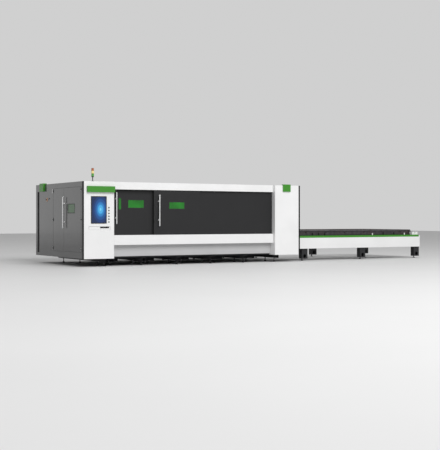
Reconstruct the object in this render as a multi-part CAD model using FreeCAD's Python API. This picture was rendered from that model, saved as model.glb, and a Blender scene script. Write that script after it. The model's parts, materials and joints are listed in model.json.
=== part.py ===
import FreeCAD, Part

import math
import os

# Fibre laser cutting machine: an enclosed cabin with a control console, sliding front
# doors and a gantry, and an exchange table with two pallets on two levels.
# Sizes are in millimetres. X runs along the machine from the console to the table,
# Y from the front to the back and Z upwards. The origin lies on the floor, in the
# middle of the outline seen from above.

Vector = FreeCAD.Vector

# Cabin
cabin_length = 7050
bed_rear_space = 297
ground_clearance = 220
panel_height = 2100
wall_thickness = 40
sheet = 3
skin = 4
panel_rim = 30
front_depth = 320
edge_radius = 12

# Control console, measured from its left front edge and from the panels' lower edge
console_width = 890
trim_depth = 125
trim_thickness = 3
right_trim_reach = 45
housing_gap = 5
display_left = 202
display_width = 461
display_rise = 955
display_height = 742
display_bezel = 18
display_lap = 10
display_proud = 8
display_neck = 30
glass_thickness = 8
button_column = 730
button_count = 6
button_rise = 998
button_pitch = 78
button_radius = 10
button_proud = 9
bezel_radius = 17
button_sides = 12
bezel_thickness = 3
barrel_radius = 13
switch_clearance = 0.3
switch_block = 34
switch_depth = 40
bore_depth = 16
head_depth = 6
plunger_side = 10
plunger_length = 30
drawer_left = 143
drawer_width = 628
drawer_rise = 789
drawer_height = 86
drawer_gap = 4
drawer_front = 18
drawer_depth = 280
tray_height = 50
shelf_thickness = 4
shelf_lap = 20
grip_offset = 329
grip_width = 267
grip_rise = 38
grip_height = 42
sign_left = 85
sign_rise = 1805
sign_height = 163
sign_proud = 60
sign_wrap = 6

# Signal tower, on the console's roof
tower_left = 283
tower_setback = 70
tower_plate = 64
tower_plate_thickness = 6
tower_pole_radius = 12
tower_pole_sides = 12
tower_pole_height = 130
tower_cup_height = 16
lamp_radius = 35
lamp_height = 76
lamp_ribs = 18
lamp_rib_depth = 2

# Front frame and doors, with their recesses from the console's face
frame_recess = 100
right_door_recess = 120
fixed_panel_recess = 165
left_door_recess = 210
skirt_recess = 240
beam_height = 205
rail_rise = 365
rail_height = 270
skirt_rise = 45
seam_width = 4
seam_depth = 1.5
beam_seams = (1230, 2680)
rail_seams = (1830, 3515)
skirt_seams = (1710, 3160)
leaf_thickness = 38
leaf_clearance = 6
leaf_rise_in_beam = 30
door_gap = 5
left_door_width = 1377
right_door_width = 1465
door_overlap = 90
fixed_panel_overlap = 47
guide_fin = 6
guide_groove = 10
guide_depth = 20
fin_inset = 20
hanger_length = 140
hanger_inset = 120
hanger_wall = 5
hanger_base = 12
track_head = 8
track_web = 8
track_play = 2
window_frame = 25
pane_thickness = 8
pane_setback = 4
seal_width = 15
seal_play = 5
narrow_window_left = 220
narrow_window_width = 80
narrow_window_rise = 710
narrow_window_height = 315
wide_window_left = 510
wide_window_width = 487
wide_window_rise = 755
wide_window_height = 220
right_window_left = 465
right_window_width = 490
right_window_rise = 735
right_window_height = 190

# Bar handles
handle_length = 880
handle_radius = 16
handle_sides = 16
handle_standoff = 60
handle_post_radius = 10
handle_post_sides = 6
handle_post_inset = 176
left_handle_inset = 136
left_handle_rise = 305
right_handle_inset = 131
right_handle_rise = 243

# Right pillar and green blocks
pillar_width = 875
pillar_block_left = 283
pillar_block_width = 270
pillar_block_height = 190
pillar_block_proud = 30
pillar_block_lap = 50
block_top = 30
side_block_setback = 439
side_block_width = 310
side_block_height = 207
side_block_proud = 55
side_block_lap = 60

# Left side, measured from the console's face and from the panels' lower edge
side_stile_end = 200
side_door_meeting = 1455
side_door_end = 2274
side_door_rise = 175
side_door_height = 1780
side_door_gap = 5
groove_width = 155
groove_recess = 15
groove_rise = 90
groove_below_top = 210
side_window_front = 655
side_window_width = 500
side_window_rise = 1250
side_window_height = 240
side_handle_front = 1381
side_handle_rise = 819
hinge_radius = 9
hinge_pin_radius = 4
hinge_play = 0.5
hinge_sides = 8
hinge_offset = 10
hinge_knuckle = 30
hinge_tab = 26
hinge_tab_thickness = 4
hinge_levels = (0.04, 0.5, 0.96)
switch_setback = 648
switch_rise = 1650
switch_plate_radius = 60
switch_plate_thickness = 8
switch_sides = 24
knob_radius = 27
knob_height = 16
knob_grip = 14
knob_grip_height = 16

# Rear, roof and right wall
post_width = 134
rear_panel_count = 5
roof_panel_count = 5
louvre_count = 6
louvre_length = 420
louvre_height = 12
louvre_pitch = 34
louvre_rise = 300

# Laser source cabinet, in the bay behind the console
source_left = 140
source_width = 560
source_front = 1000
source_depth = 1000
source_height = 1350
source_plinth = 60
source_plinth_inset = 30
source_chamfer = 25
floor_thickness = 20

# Base and bed
cross_beam_count = 6
cross_beam_first = 750
cross_beam_last = 6380
cross_beam_width = 100
cross_beam_height = 100
cross_beam_wall = 6
cross_beam_front = 180
cross_beam_rear_inset = 20
bed_tie_offset = 350
bed_tie_front = 340
bed_beam_width = 240
bed_height = 1000
bed_wall = 12
foot_radius = 40
foot_sides = 8
stud_sides = 6
foot_thickness = 16
stud_radius = 12
front_foot_setback = 180
second_foot_setback = 670
tie_foot_setback = 410

# Pallets and their rails
pallet_length = 4880
pallet_width = 2500
pallet_height = 152
pallet_gap = 40
pallet_table_gap = 230
pallet_stroke = 5300
pallet_base = 800
pallet_level = 240
pallet_side = 40
pallet_side_wall = 6
pallet_end = 110
pallet_slope = 80
pallet_nose = 25
pallet_rib_count = 4
pallet_rib_width = 30
pallet_rib_height = 60
pallet_slot_count = 6
pallet_slot_length = 70
pallet_slot_height = 30
pallet_slot_rise = 55
slat_count = 16
slat_thickness = 5
slat_teeth = 8
slat_tooth_height = 22
ledge_width = 80
ledge_thickness = 8
rail_web_height = 120
rail_end_gap = 60

# Pallet doorway and its lifting door
doorway_side_gap = 20
doorway_below = 40
doorway_above = 170
guide_channel = 50
guide_lip = 40
pallet_door_thickness = 30
pallet_door_lap = 20
pallet_door_play = 4

# Gantry
guide_rail_width = 34
guide_rail_height = 28
guide_rail_inset = 60
gantry_park = 110
gantry_foot_length = 560
gantry_foot_width = 200
gantry_foot_height = 80
gantry_foot_grip = 12
gantry_beam_width = 240
gantry_beam_height = 290
gantry_beam_chamfer = 45
gantry_beam_wall = 14
cross_guide = 24
cross_guide_inset = 70
carriage_width = 320
carriage_thickness = 60
carriage_overhang = 60
head_width = 150
head_depth_x = 120
head_height = 470
head_guide = 20
head_chamfer = 20
nozzle_clearance = 350
nozzle_length = 130
nozzle_collar = 65
nozzle_radius = 45
nozzle_tip_radius = 6
nozzle_sides = 16

# Exchange table
table_end_space = 170
table_base = 375
table_height = 337
table_beam_width = 120
table_beam_wall = 8
stripe_height = 65
end_panel_rise = 43
leg_count = 3
leg_first = 430
leg_width = 220
leg_depth = 160
leg_base = 60
leg_wall = 8
leg_hole_radius = 55
leg_hole_sides = 16
leg_hole_height = 146
leg_foot_inset = 60
table_tie_width = 80
table_tie_clearance = 10
stop_gap = 20
stop_length = 100
stop_guide_length = 140
stop_guide_play = 12
stop_setback = 10
stop_height = 70
stop_notch_width = 50
stop_notch_depth = 40
guide_width = 40
guide_thickness = 10
guide_foot = 80
guide_height = 70
left_guides_start = 927
left_guides_pitch = 240
left_guides_count = 3
right_guides_start = 3357
right_guides_pitch = 460
right_guides_count = 4

# Planes that the pieces share
side_reach = handle_standoff + handle_radius
bed_span = pallet_width + 2 * (pallet_gap + bed_beam_width)
cabin_depth = front_depth + bed_span + bed_rear_space + wall_thickness
table_length = pallet_table_gap + pallet_length + table_end_space
x_left = (side_reach - cabin_length - table_length) / 2
x_console = x_left + console_width
x_right = x_left + cabin_length
x_pillar = x_right - pillar_width
x_end = x_right + table_length
x_inside_right = x_right - wall_thickness
y_face = (sign_proud - cabin_depth) / 2
y_frame = y_face + frame_recess
y_inner = y_face + front_depth
y_back = y_face + cabin_depth
y_inside_back = y_back - wall_thickness
z_base = ground_clearance
z_top = z_base + panel_height
z_rail_low = z_base + rail_rise
z_rail = z_rail_low + rail_height
z_beam = z_top - beam_height
z_ceiling = z_top - wall_thickness

# Sliding doors, side by side along the front
x_left_door = x_console + door_gap
x_left_door_end = x_left_door + left_door_width
x_right_door = x_left_door_end - door_overlap
x_right_door_end = x_right_door + right_door_width
x_fixed_panel = x_right_door_end - fixed_panel_overlap
z_leaf = z_rail + leaf_clearance
z_leaf_top = z_beam + leaf_rise_in_beam

# Bed, pallets and rails, across the machine
y_bed_inner = y_inner + bed_beam_width
y_pallet = y_bed_inner + pallet_gap
y_pallet_end = y_pallet + pallet_width
y_middle = (y_pallet + y_pallet_end) / 2
y_bed_rear_inner = y_pallet_end + pallet_gap
y_bed_rear = y_bed_rear_inner + bed_beam_width
z_cross_beam = z_base - cross_beam_height
x_bed_end = x_inside_right - guide_channel
x_pallet = x_right + pallet_table_gap
z_lower_pallet = pallet_base - pallet_level
z_doorway = z_lower_pallet - doorway_below
z_doorway_top = pallet_base + pallet_height + doorway_above
y_table = y_bed_inner - table_beam_width - wall_thickness
z_table_top = table_base + table_height


def block(x0, x1, y0, y1, z0, z1):
    # Box between two corners
    return Part.makeBox(x1 - x0, y1 - y0, z1 - z0, Vector(x0, y0, z0))


def prism(points, sweep):
    # Flat closed outline swept along a vector
    return Part.Face(Part.makePolygon(points + points[:1])).extrude(sweep)


def prism_x(outline, x0, x1):
    # Outline of (y, z) points swept along X
    return prism([Vector(x0, y, z) for y, z in outline], Vector(x1 - x0, 0, 0))


def prism_y(outline, y0, y1):
    # Outline of (x, z) points swept along Y
    return prism([Vector(x, y0, z) for x, z in outline], Vector(0, y1 - y0, 0))


def prism_z(outline, z0, z1):
    # Outline of (x, y) points swept along Z
    return prism([Vector(x, y, z0) for x, y in outline], Vector(0, 0, z1 - z0))


def rod(radius, start, sweep):
    # Round bar from a point along a vector
    return Part.makeCylinder(radius, sweep.Length, start, sweep)


def ring_of_points(radii, start, sweep):
    # Points round a start, square to the sweep, at the given radii in turn
    first = Vector(1, 0, 0) if sweep.z else Vector(0, 0, 1)
    second = sweep.cross(first) * (1 / sweep.Length)
    points = []
    for k, radius in enumerate(radii):
        turn = 2 * math.pi * k / len(radii)
        points.append(start + first * (radius * math.cos(turn)) + second * (radius * math.sin(turn)))
    return points


def flat_sided_rod(radius, sides, start, sweep):
    # Bar with flats, for small pieces that repeat many times
    return prism(ring_of_points([radius] * sides, start, sweep), sweep)


def tapered_rod(radius_low, radius_high, sides, start, sweep):
    # Bar with flats whose radius changes evenly from one end to the other
    low = ring_of_points([radius_low] * sides, start, sweep)
    high = ring_of_points([radius_high] * sides, start + sweep, sweep)
    outlines = [low, high]
    for k in range(sides):
        outlines.append([low[k - 1], low[k], high[k], high[k - 1]])
    faces = [Part.Face(Part.makePolygon(points + points[:1])) for points in outlines]
    shell = Part.makeShell(faces)
    shell.sewShape()
    return Part.makeSolid(shell)


def merged(pieces):
    # One solid from pieces that touch or overlap
    return pieces[0].multiFuse(pieces[1:]).removeSplitter()


def mirrored(shape):
    # The same piece on the other side of the pallets' centre line
    return shape.mirror(Vector(0, y_middle, 0), Vector(0, 1, 0))


def edges_at(shape, direction, places):
    # Edges along a direction that pass through one of the given places;
    # a coordinate of None in a place matches any value
    found = []
    for edge in shape.Edges:
        line = edge.tangentAt(edge.FirstParameter)
        if abs(line.dot(direction)) < 0.999:
            continue
        middle = edge.valueAt((edge.FirstParameter + edge.LastParameter) / 2)
        for place in places:
            gaps = [abs(a - b) for a, b in zip(middle, place) if b is not None]
            if max(gaps) < 0.01:
                found.append(edge)
    return found


def rounded(shape, radius, direction, places):
    # Fillet on the edges along a direction at the given places
    return shape.makeFillet(radius, edges_at(shape, direction, places))


def rounded_plate(x0, x1, y0, y1, z0, z1, radius):
    # Plate that faces the front, with round corners
    plate = block(x0, x1, y0, y1, z0, z1)
    corners = [(x, None, z) for x in (x0, x1) for z in (z0, z1)]
    return rounded(plate, radius, Vector(0, 1, 0), corners)


def pan(x0, x1, y0, y1, z0, z1, open_side):
    # Folded panel: a skin with a rim all round, open on one side
    low = [x0 + panel_rim, y0 + panel_rim, z0 + panel_rim]
    high = [x1 - panel_rim, y1 - panel_rim, z1 - panel_rim]
    axis = "xyz".index(open_side[1])
    outer = ([x0, y0, z0], [x1, y1, z1])
    if open_side[0] == "+":
        low[axis] = outer[0][axis] + skin
        high[axis] = outer[1][axis]
    else:
        low[axis] = outer[0][axis]
        high[axis] = outer[1][axis] - skin
    pocket = block(low[0], high[0], low[1], high[1], low[2], high[2])
    return block(x0, x1, y0, y1, z0, z1).cut(pocket)


def save(name, *solids):
    # One file for each sub-part, which may hold several like solids
    shape = solids[0] if len(solids) == 1 else Part.makeCompound(list(solids))
    shape.exportStep("parts/" + name + ".step")


# Control console

x_housing = x_left + wall_thickness + housing_gap
y_trim = y_face + trim_depth
x_display = x_left + display_left
x_display_end = x_display + display_width
z_display = z_base + display_rise
z_display_end = z_display + display_height
x_buttons = x_left + button_column
x_drawer = x_left + drawer_left
x_drawer_end = x_drawer + drawer_width
z_drawer = z_base + drawer_rise
z_drawer_end = z_drawer + drawer_height
button_heights = [z_base + button_rise + k * button_pitch for k in range(button_count)]


def console_plan(inset):
    # Outline seen from above, notched at the back for the side wall
    x0 = x_left + trim_thickness + inset
    x1 = x_housing + inset
    x2 = x_console - inset
    return [
        (x0, y_face + inset),
        (x2, y_face + inset),
        (x2, y_inner - inset),
        (x1, y_inner - inset),
        (x1, y_trim - inset),
        (x0, y_trim - inset),
    ]


def console_housing():
    outside = prism_z(console_plan(0), z_base, z_top)
    outside = rounded(outside, edge_radius, Vector(0, 0, 1), [(x_console, y_face, None)])
    shell = outside.cut(prism_z(console_plan(sheet), z_base + sheet, z_top - sheet))
    y_behind = y_face + 2 * sheet
    display_hole = block(
        x_display + display_lap, x_display_end - display_lap,
        y_face - sheet, y_behind,
        z_display + display_lap, z_display_end - display_lap,
    )
    drawer_hole = block(x_drawer, x_drawer_end, y_face - sheet, y_behind, z_drawer, z_drawer_end)
    holes = [display_hole, drawer_hole]
    for height in button_heights:
        start = Vector(x_buttons, y_face - sheet, height)
        radius = barrel_radius + switch_clearance
        holes.append(flat_sided_rod(radius, button_sides, start, Vector(0, 3 * sheet, 0)))
    shell = shell.cut(holes)
    shelf = block(
        x_drawer - shelf_lap, x_drawer_end + shelf_lap,
        y_face + sheet, y_inner - sheet,
        z_drawer - shelf_thickness, z_drawer,
    )
    return merged([shell, shelf])


def left_corner_trim():
    return block(x_left, x_left + trim_thickness, y_face, y_trim, z_base, z_top)


def right_corner_trim():
    # Angle on the pillar's right side, with one arm in line with its face
    x1 = x_right + right_trim_reach
    plan = [
        (x_right, y_face),
        (x1, y_face),
        (x1, y_face + trim_thickness),
        (x_right + trim_thickness, y_face + trim_thickness),
        (x_right + trim_thickness, y_trim),
        (x_right, y_trim),
    ]
    return prism_z(plan, z_base, z_top)


def sign_board():
    # Green board that wraps the console's right corner
    x0 = x_left + sign_left
    x1 = x_console + sign_wrap
    y0 = y_face - sign_proud
    plan = [(x0, y0), (x1, y0), (x1, y_frame), (x_console, y_frame), (x_console, y_face), (x0, y_face)]
    z0 = z_base + sign_rise
    board = prism_z(plan, z0, z0 + sign_height)
    return rounded(board, edge_radius, Vector(0, 0, 1), [(x0, y0, None), (x1, y0, None)])


def display_window(y0, y1):
    return block(
        x_display + display_bezel, x_display_end - display_bezel, y0, y1,
        z_display + display_bezel, z_display_end - display_bezel,
    )


def display_frame():
    y_front = y_face - display_proud
    y_neck = y_face + display_neck
    flange = rounded_plate(
        x_display, x_display_end, y_front, y_face, z_display, z_display_end, edge_radius
    )
    neck = block(
        x_display + display_lap, x_display_end - display_lap, y_face, y_neck,
        z_display + display_lap, z_display_end - display_lap,
    )
    return merged([flange, neck]).cut(display_window(y_front, y_neck))


def display_glass():
    y0 = y_face - display_proud + sheet
    return display_window(y0, y0 + glass_thickness)


def switch_body(height):
    # Ring in front of the panel, barrel through it and block behind it
    centre = Vector(x_buttons, y_face, height)
    ring = flat_sided_rod(bezel_radius, button_sides, centre, Vector(0, -bezel_thickness, 0))
    barrel = flat_sided_rod(barrel_radius, button_sides, centre, Vector(0, sheet, 0))
    half = switch_block / 2
    y0 = y_face + sheet
    body = block(
        x_buttons - half, x_buttons + half, y0, y0 + switch_depth, height - half, height + half
    )
    front = Vector(x_buttons, y_face - bezel_thickness, height)
    radius = button_radius + switch_clearance
    bore = flat_sided_rod(radius, button_sides, front, Vector(0, bore_depth, 0))
    side = plunger_side / 2
    slot = block(
        x_buttons - side, x_buttons + side, y_face, y0 + switch_depth, height - side, height + side
    )
    return merged([ring, barrel, body]).cut([bore, slot])


def plunger(height):
    # Square rod that guides a button in its switch body
    side = plunger_side / 2
    y0 = y_face + head_depth
    return block(
        x_buttons - side, x_buttons + side, y0, y0 + plunger_length, height - side, height + side
    )


def push_button(height):
    front = Vector(x_buttons, y_face - button_proud, height)
    length = button_proud + head_depth
    head = flat_sided_rod(button_radius, button_sides, front, Vector(0, length, 0))
    return merged([head, plunger(height)])


def keyboard_drawer():
    x0 = x_drawer + drawer_gap
    x1 = x_drawer_end - drawer_gap
    y1 = y_face + drawer_front
    front = block(x0, x1, y_face, y1, z_drawer, z_drawer_end - drawer_gap)
    tray = block(x0, x1, y1, y_face + drawer_depth, z_drawer, z_drawer + tray_height)
    hollow = block(
        x0 + sheet, x1 - sheet, y1, y_face + drawer_depth - sheet,
        z_drawer + sheet, z_drawer + tray_height,
    )
    x_grip = x_drawer + grip_offset
    z_grip = z_drawer + grip_rise
    grip = block(x_grip, x_grip + grip_width, y_face, y1, z_grip, z_grip + grip_height)
    return merged([front, tray.cut(hollow)]).cut(grip)


x_tower = x_left + tower_left
y_tower = y_face + tower_setback
z_lamps = z_top + tower_pole_height


def tower_base():
    # Foot plate, pole and the cup that holds the lamps
    half = tower_plate / 2
    z_plate = z_top + tower_plate_thickness
    z_cup = z_lamps - tower_cup_height
    plate = block(x_tower - half, x_tower + half, y_tower - half, y_tower + half, z_top, z_plate)
    start = Vector(x_tower, y_tower, z_plate)
    pole = flat_sided_rod(tower_pole_radius, tower_pole_sides, start, Vector(0, 0, z_cup - z_plate))
    start = Vector(x_tower, y_tower, z_cup)
    cup = flat_sided_rod(lamp_radius, lamp_ribs, start, Vector(0, 0, tower_cup_height))
    return merged([plate, pole, cup])


def tower_lamp(level):
    # Lens with upright ribs
    start = Vector(x_tower, y_tower, z_lamps + level * lamp_height)
    sweep = Vector(0, 0, lamp_height)
    radii = [lamp_radius, lamp_radius - lamp_rib_depth] * lamp_ribs
    return prism(ring_of_points(radii, start, sweep), sweep)


# Front frame, with the tracks that the sliding doors hang from

y_right_door = y_face + right_door_recess
y_left_door = y_face + left_door_recess
y_fixed_panel = y_face + fixed_panel_recess


def seams(offsets, y_front, z0, z1):
    # Narrow joints between neighbouring cover panels
    cuts = []
    for offset in offsets:
        x0 = x_console + offset
        cuts.append(block(x0, x0 + seam_width, y_front, y_front + seam_depth, z0, z1))
    return cuts


def door_track(y_leaf):
    # Upside-down T under the beam's roof
    middle = y_leaf + leaf_thickness / 2
    half_web = track_web / 2
    half_head = leaf_thickness / 2 - hanger_wall - track_play / 2
    z_head = z_leaf_top + hanger_base + track_play
    z_web = z_head + track_head
    z_roof = z_top - sheet
    outline = [
        (middle - half_head, z_head),
        (middle + half_head, z_head),
        (middle + half_head, z_web),
        (middle + half_web, z_web),
        (middle + half_web, z_roof),
        (middle - half_web, z_roof),
        (middle - half_web, z_web),
        (middle - half_head, z_web),
    ]
    return prism_x(outline, x_console, x_pillar)


def top_beam():
    # Channel, open below, that hides the tracks
    outline = [
        (y_frame, z_beam),
        (y_frame + sheet, z_beam),
        (y_frame + sheet, z_top - sheet),
        (y_inner - sheet, z_top - sheet),
        (y_inner - sheet, z_beam),
        (y_inner, z_beam),
        (y_inner, z_top),
        (y_frame, z_top),
    ]
    channel = prism_x(outline, x_console, x_pillar)
    channel = channel.cut(seams(beam_seams, y_frame, z_beam, z_top))
    return merged([channel, door_track(y_left_door), door_track(y_right_door)])


def lower_rail():
    # Box with a groove for each sliding door's guide fin
    outside = block(x_console, x_pillar, y_frame, y_inner, z_rail_low, z_rail)
    z_floor = z_rail - guide_depth
    hollow = block(
        x_console, x_pillar, y_frame + sheet, y_inner - sheet, z_rail_low + sheet, z_floor - sheet
    )
    cuts = [hollow] + seams(rail_seams, y_frame, z_rail_low, z_rail)
    for y_leaf in (y_left_door, y_right_door):
        y0 = y_leaf + (leaf_thickness - guide_groove) / 2
        cuts.append(block(x_console, x_pillar, y0, y0 + guide_groove, z_floor, z_rail))
    return outside.cut(cuts)


def skirt():
    y0 = y_face + skirt_recess
    panel = pan(x_console, x_pillar, y0, y_inner, z_base + skirt_rise, z_rail_low, "+y")
    return panel.cut(seams(skirt_seams, y0, z_base + skirt_rise, z_rail_low))


def leaf_window(x_leaf, left, width, rise, height, y0, y1, margin):
    # Space of a window, widened by a margin all round
    x0 = x_leaf + left - margin
    z0 = z_rail + rise - margin
    return block(x0, x0 + width + 2 * margin, y0, y1, z0, z0 + height + 2 * margin)


def hanger(x0, y_leaf):
    # Slotted block on top of a leaf that holds the track's head
    middle = y_leaf + leaf_thickness / 2
    half_slot = leaf_thickness / 2 - hanger_wall
    half_mouth = track_web / 2 + track_play
    z0 = z_leaf_top + hanger_base
    z1 = z0 + track_play + track_head
    z2 = z1 + hanger_base
    body = block(x0, x0 + hanger_length, y_leaf, y_leaf + leaf_thickness, z_leaf_top, z2)
    slot = block(x0, x0 + hanger_length, middle - half_slot, middle + half_slot, z0, z1)
    mouth = block(x0, x0 + hanger_length, middle - half_mouth, middle + half_mouth, z1, z2)
    return body.cut([slot, mouth])


def sliding_leaf(x_leaf, width, y_leaf, windows):
    # Folded leaf with framed windows, a guide fin below and two hangers above
    x1 = x_leaf + width
    y1 = y_leaf + leaf_thickness
    slab = block(x_leaf, x1, y_leaf, y1, z_leaf, z_leaf_top)
    pocket = block(
        x_leaf + panel_rim, x1 - panel_rim, y_leaf + skin, y1, z_leaf + panel_rim, z_leaf_top - panel_rim
    )
    frames = [leaf_window(x_leaf, *window, y_leaf, y1, window_frame) for window in windows]
    holes = [leaf_window(x_leaf, *window, y_leaf, y1, 0) for window in windows]
    slab = slab.cut(pocket.cut(frames)).cut(holes)
    y_fin = y_leaf + (leaf_thickness - guide_fin) / 2
    z_fin = z_rail - guide_depth + leaf_clearance
    fin = block(x_leaf + fin_inset, x1 - fin_inset, y_fin, y_fin + guide_fin, z_fin, z_leaf)
    hangers = [hanger(x0, y_leaf) for x0 in (x_leaf + hanger_inset, x1 - hanger_inset - hanger_length)]
    return merged([slab, fin] + hangers)


def panes(x_leaf, y_leaf, windows):
    y0 = y_leaf + pane_setback
    return [leaf_window(x_leaf, *window, y0, y0 + pane_thickness, 0) for window in windows]


left_windows = [
    (narrow_window_left, narrow_window_width, narrow_window_rise, narrow_window_height),
    (wide_window_left, wide_window_width, wide_window_rise, wide_window_height),
]
right_windows = [
    (right_window_left, right_window_width, right_window_rise, right_window_height),
]


def fixed_front_panel():
    y1 = y_fixed_panel + leaf_thickness
    return pan(x_fixed_panel, x_pillar, y_fixed_panel, y1, z_rail, z_top - sheet, "+y")


def right_door_seal():
    # Brush strip that closes the step between the two sliding doors
    y1 = y_left_door - seal_play
    return block(x_right_door - seal_width, x_right_door, y_right_door, y1, z_leaf, z_beam)


def bar_handle(foot, outwards):
    # Upright tube on two posts; foot is the point on the leaf below the tube's lower end
    start = foot + outwards * handle_standoff
    tube = flat_sided_rod(handle_radius, handle_sides, start, Vector(0, 0, handle_length))
    posts = []
    for height in (handle_post_inset, handle_length - handle_post_inset):
        start = foot + Vector(0, 0, height)
        sweep = outwards * handle_standoff
        posts.append(flat_sided_rod(handle_post_radius, handle_post_sides, start, sweep))
    return merged([tube] + posts)


def left_door_handle():
    foot = Vector(x_left_door + left_handle_inset, y_left_door, z_rail + left_handle_rise)
    return bar_handle(foot, Vector(0, -1, 0))


def right_door_handle():
    foot = Vector(x_right_door + right_handle_inset, y_right_door, z_rail + right_handle_rise)
    return bar_handle(foot, Vector(0, -1, 0))


def right_pillar():
    outside = block(x_pillar, x_right, y_face, y_inner, z_base, z_top)
    corners = [(x_pillar, y_face, None), (x_right, y_face, None)]
    outside = rounded(outside, edge_radius, Vector(0, 0, 1), corners)
    hollow = block(
        x_pillar + sheet, x_right - sheet, y_face + sheet, y_inner - sheet, z_base + sheet, z_top - sheet
    )
    return outside.cut(hollow)


def hook_outline(face, proud, lap, height):
    # Outline of a block that hangs over a top edge: (distance, z) points
    return [
        (face - proud, z_top - height),
        (face, z_top - height),
        (face, z_top),
        (face + lap, z_top),
        (face + lap, z_top + block_top),
        (face - proud, z_top + block_top),
    ]


def pillar_block():
    x0 = x_pillar + pillar_block_left
    outline = hook_outline(y_face, pillar_block_proud, pillar_block_lap, pillar_block_height)
    body = prism_x(outline, x0, x0 + pillar_block_width)
    edge = (None, y_face - pillar_block_proud, z_top + block_top)
    return rounded(body, edge_radius, Vector(1, 0, 0), [edge])


def side_block():
    y0 = y_back - side_block_setback - side_block_width
    outline = hook_outline(x_left, side_block_proud, side_block_lap, side_block_height)
    body = prism_y(outline, y0, y0 + side_block_width)
    edge = (x_left - side_block_proud, None, z_top + block_top)
    return rounded(body, edge_radius, Vector(0, 1, 0), [edge])


# Left side

x_side_inner = x_left + wall_thickness
y_groove_end = y_back - post_width
y_groove = y_groove_end - groove_width
z_groove = z_base + groove_rise
z_groove_end = z_top - groove_below_top
z_side_door = z_base + side_door_rise
z_side_door_top = z_side_door + side_door_height
y_front_hinge = y_face + side_stile_end
y_rear_hinge = y_face + side_door_end
y_meeting = y_face + side_door_meeting
hinge_heights = [z_side_door + level * side_door_height for level in hinge_levels]


def corner_post(x_corner, side):
    # Angle at a rear corner; side is 1 at the left end and -1 at the right end
    x_arm = x_corner + side * post_width
    x_leg = x_corner + side * wall_thickness
    plan = [
        (x_corner, y_back),
        (x_corner, y_back - post_width),
        (x_leg, y_back - post_width),
        (x_leg, y_inside_back),
        (x_arm, y_inside_back),
        (x_arm, y_back),
    ]
    return prism_z(plan, z_base, z_top)


def left_corner_post():
    # Rear post with the plates below and above the groove
    below = block(x_left, x_side_inner, y_groove, y_groove_end, z_base, z_groove)
    above = block(x_left, x_side_inner, y_groove, y_groove_end, z_groove_end, z_top)
    return merged([corner_post(x_left, 1), below, above])


def side_panels():
    # Lower band, upper band, front stile, fixed panel and rear post
    gap = side_door_gap / 2
    lower = pan(x_left, x_side_inner, y_trim, y_groove, z_base, z_side_door - gap, "+x")
    upper = pan(x_left, x_side_inner, y_trim, y_groove, z_side_door_top + gap, z_top, "+x")
    z0 = z_side_door - gap
    z1 = z_side_door_top + gap
    stile = block(x_left, x_side_inner, y_trim, y_front_hinge - gap, z0, z1)
    fixed = pan(x_left, x_side_inner, y_rear_hinge + gap, y_groove, z0, z1, "+x")
    return [lower, upper, stile, fixed, left_corner_post()]


def side_groove():
    return block(
        x_left + groove_recess, x_side_inner, y_groove, y_groove_end, z_groove, z_groove_end
    )


def knuckle(y_hinge, z0, z1, tab_side):
    # Eye round the hinge pin with a tab on the panel's face
    x_pin = x_left - hinge_offset
    start = Vector(x_pin, y_hinge, z0)
    eye = flat_sided_rod(hinge_radius, hinge_sides, start, Vector(0, 0, z1 - z0))
    y_tab = y_hinge + tab_side * hinge_tab
    tab = block(
        x_left - hinge_tab_thickness, x_left, min(y_hinge, y_tab), max(y_hinge, y_tab), z0, z1
    )
    return merged([eye, tab])


def fixed_hinge(y_hinge, height, tab_side):
    # Two outer knuckles on the frame, joined by the round pin
    half = hinge_knuckle / 2
    lower = knuckle(y_hinge, height - half - hinge_knuckle, height - half, tab_side)
    upper = knuckle(y_hinge, height + half, height + half + hinge_knuckle, tab_side)
    start = Vector(x_left - hinge_offset, y_hinge, height - half)
    pin = rod(hinge_pin_radius, start, Vector(0, 0, hinge_knuckle))
    return merged([lower, upper, pin])


def leaf_knuckle(y_hinge, height, tab_side):
    # Middle knuckle, on the leaf
    z0 = height - hinge_knuckle / 2
    z1 = height + hinge_knuckle / 2 - hinge_play
    eye = knuckle(y_hinge, z0, z1, tab_side)
    start = Vector(x_left - hinge_offset, y_hinge, z0)
    radius = hinge_pin_radius + hinge_play
    return eye.cut(flat_sided_rod(radius, hinge_sides, start, Vector(0, 0, z1 - z0)))


def side_door_hinges():
    front = [fixed_hinge(y_front_hinge, height, -1) for height in hinge_heights]
    rear = [fixed_hinge(y_rear_hinge, height, 1) for height in hinge_heights]
    return front + rear


def side_window(x0, x1, margin):
    y0 = y_face + side_window_front - margin
    z0 = z_base + side_window_rise - margin
    y1 = y0 + side_window_width + 2 * margin
    return block(x0, x1, y0, y1, z0, z0 + side_window_height + 2 * margin)


def side_door_front():
    gap = side_door_gap / 2
    y0 = y_front_hinge + gap
    y1 = y_meeting - gap
    slab = block(x_left, x_side_inner, y0, y1, z_side_door, z_side_door_top)
    pocket = block(
        x_left + skin, x_side_inner, y0 + panel_rim, y1 - panel_rim,
        z_side_door + panel_rim, z_side_door_top - panel_rim,
    )
    pocket = pocket.cut(side_window(x_left, x_side_inner, window_frame))
    slab = slab.cut(pocket).cut(side_window(x_left, x_side_inner, 0))
    knuckles = [leaf_knuckle(y_front_hinge, height, 1) for height in hinge_heights]
    return merged([slab] + knuckles)


def side_door_rear():
    gap = side_door_gap / 2
    slab = pan(
        x_left, x_side_inner, y_meeting + gap, y_rear_hinge - gap, z_side_door, z_side_door_top, "+x"
    )
    knuckles = [leaf_knuckle(y_rear_hinge, height, -1) for height in hinge_heights]
    return merged([slab] + knuckles)


def side_door_window():
    x0 = x_left + pane_setback
    return side_window(x0, x0 + pane_thickness, 0)


def side_door_handle():
    foot = Vector(x_left, y_face + side_handle_front, z_base + side_handle_rise)
    return bar_handle(foot, Vector(-1, 0, 0))


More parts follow.
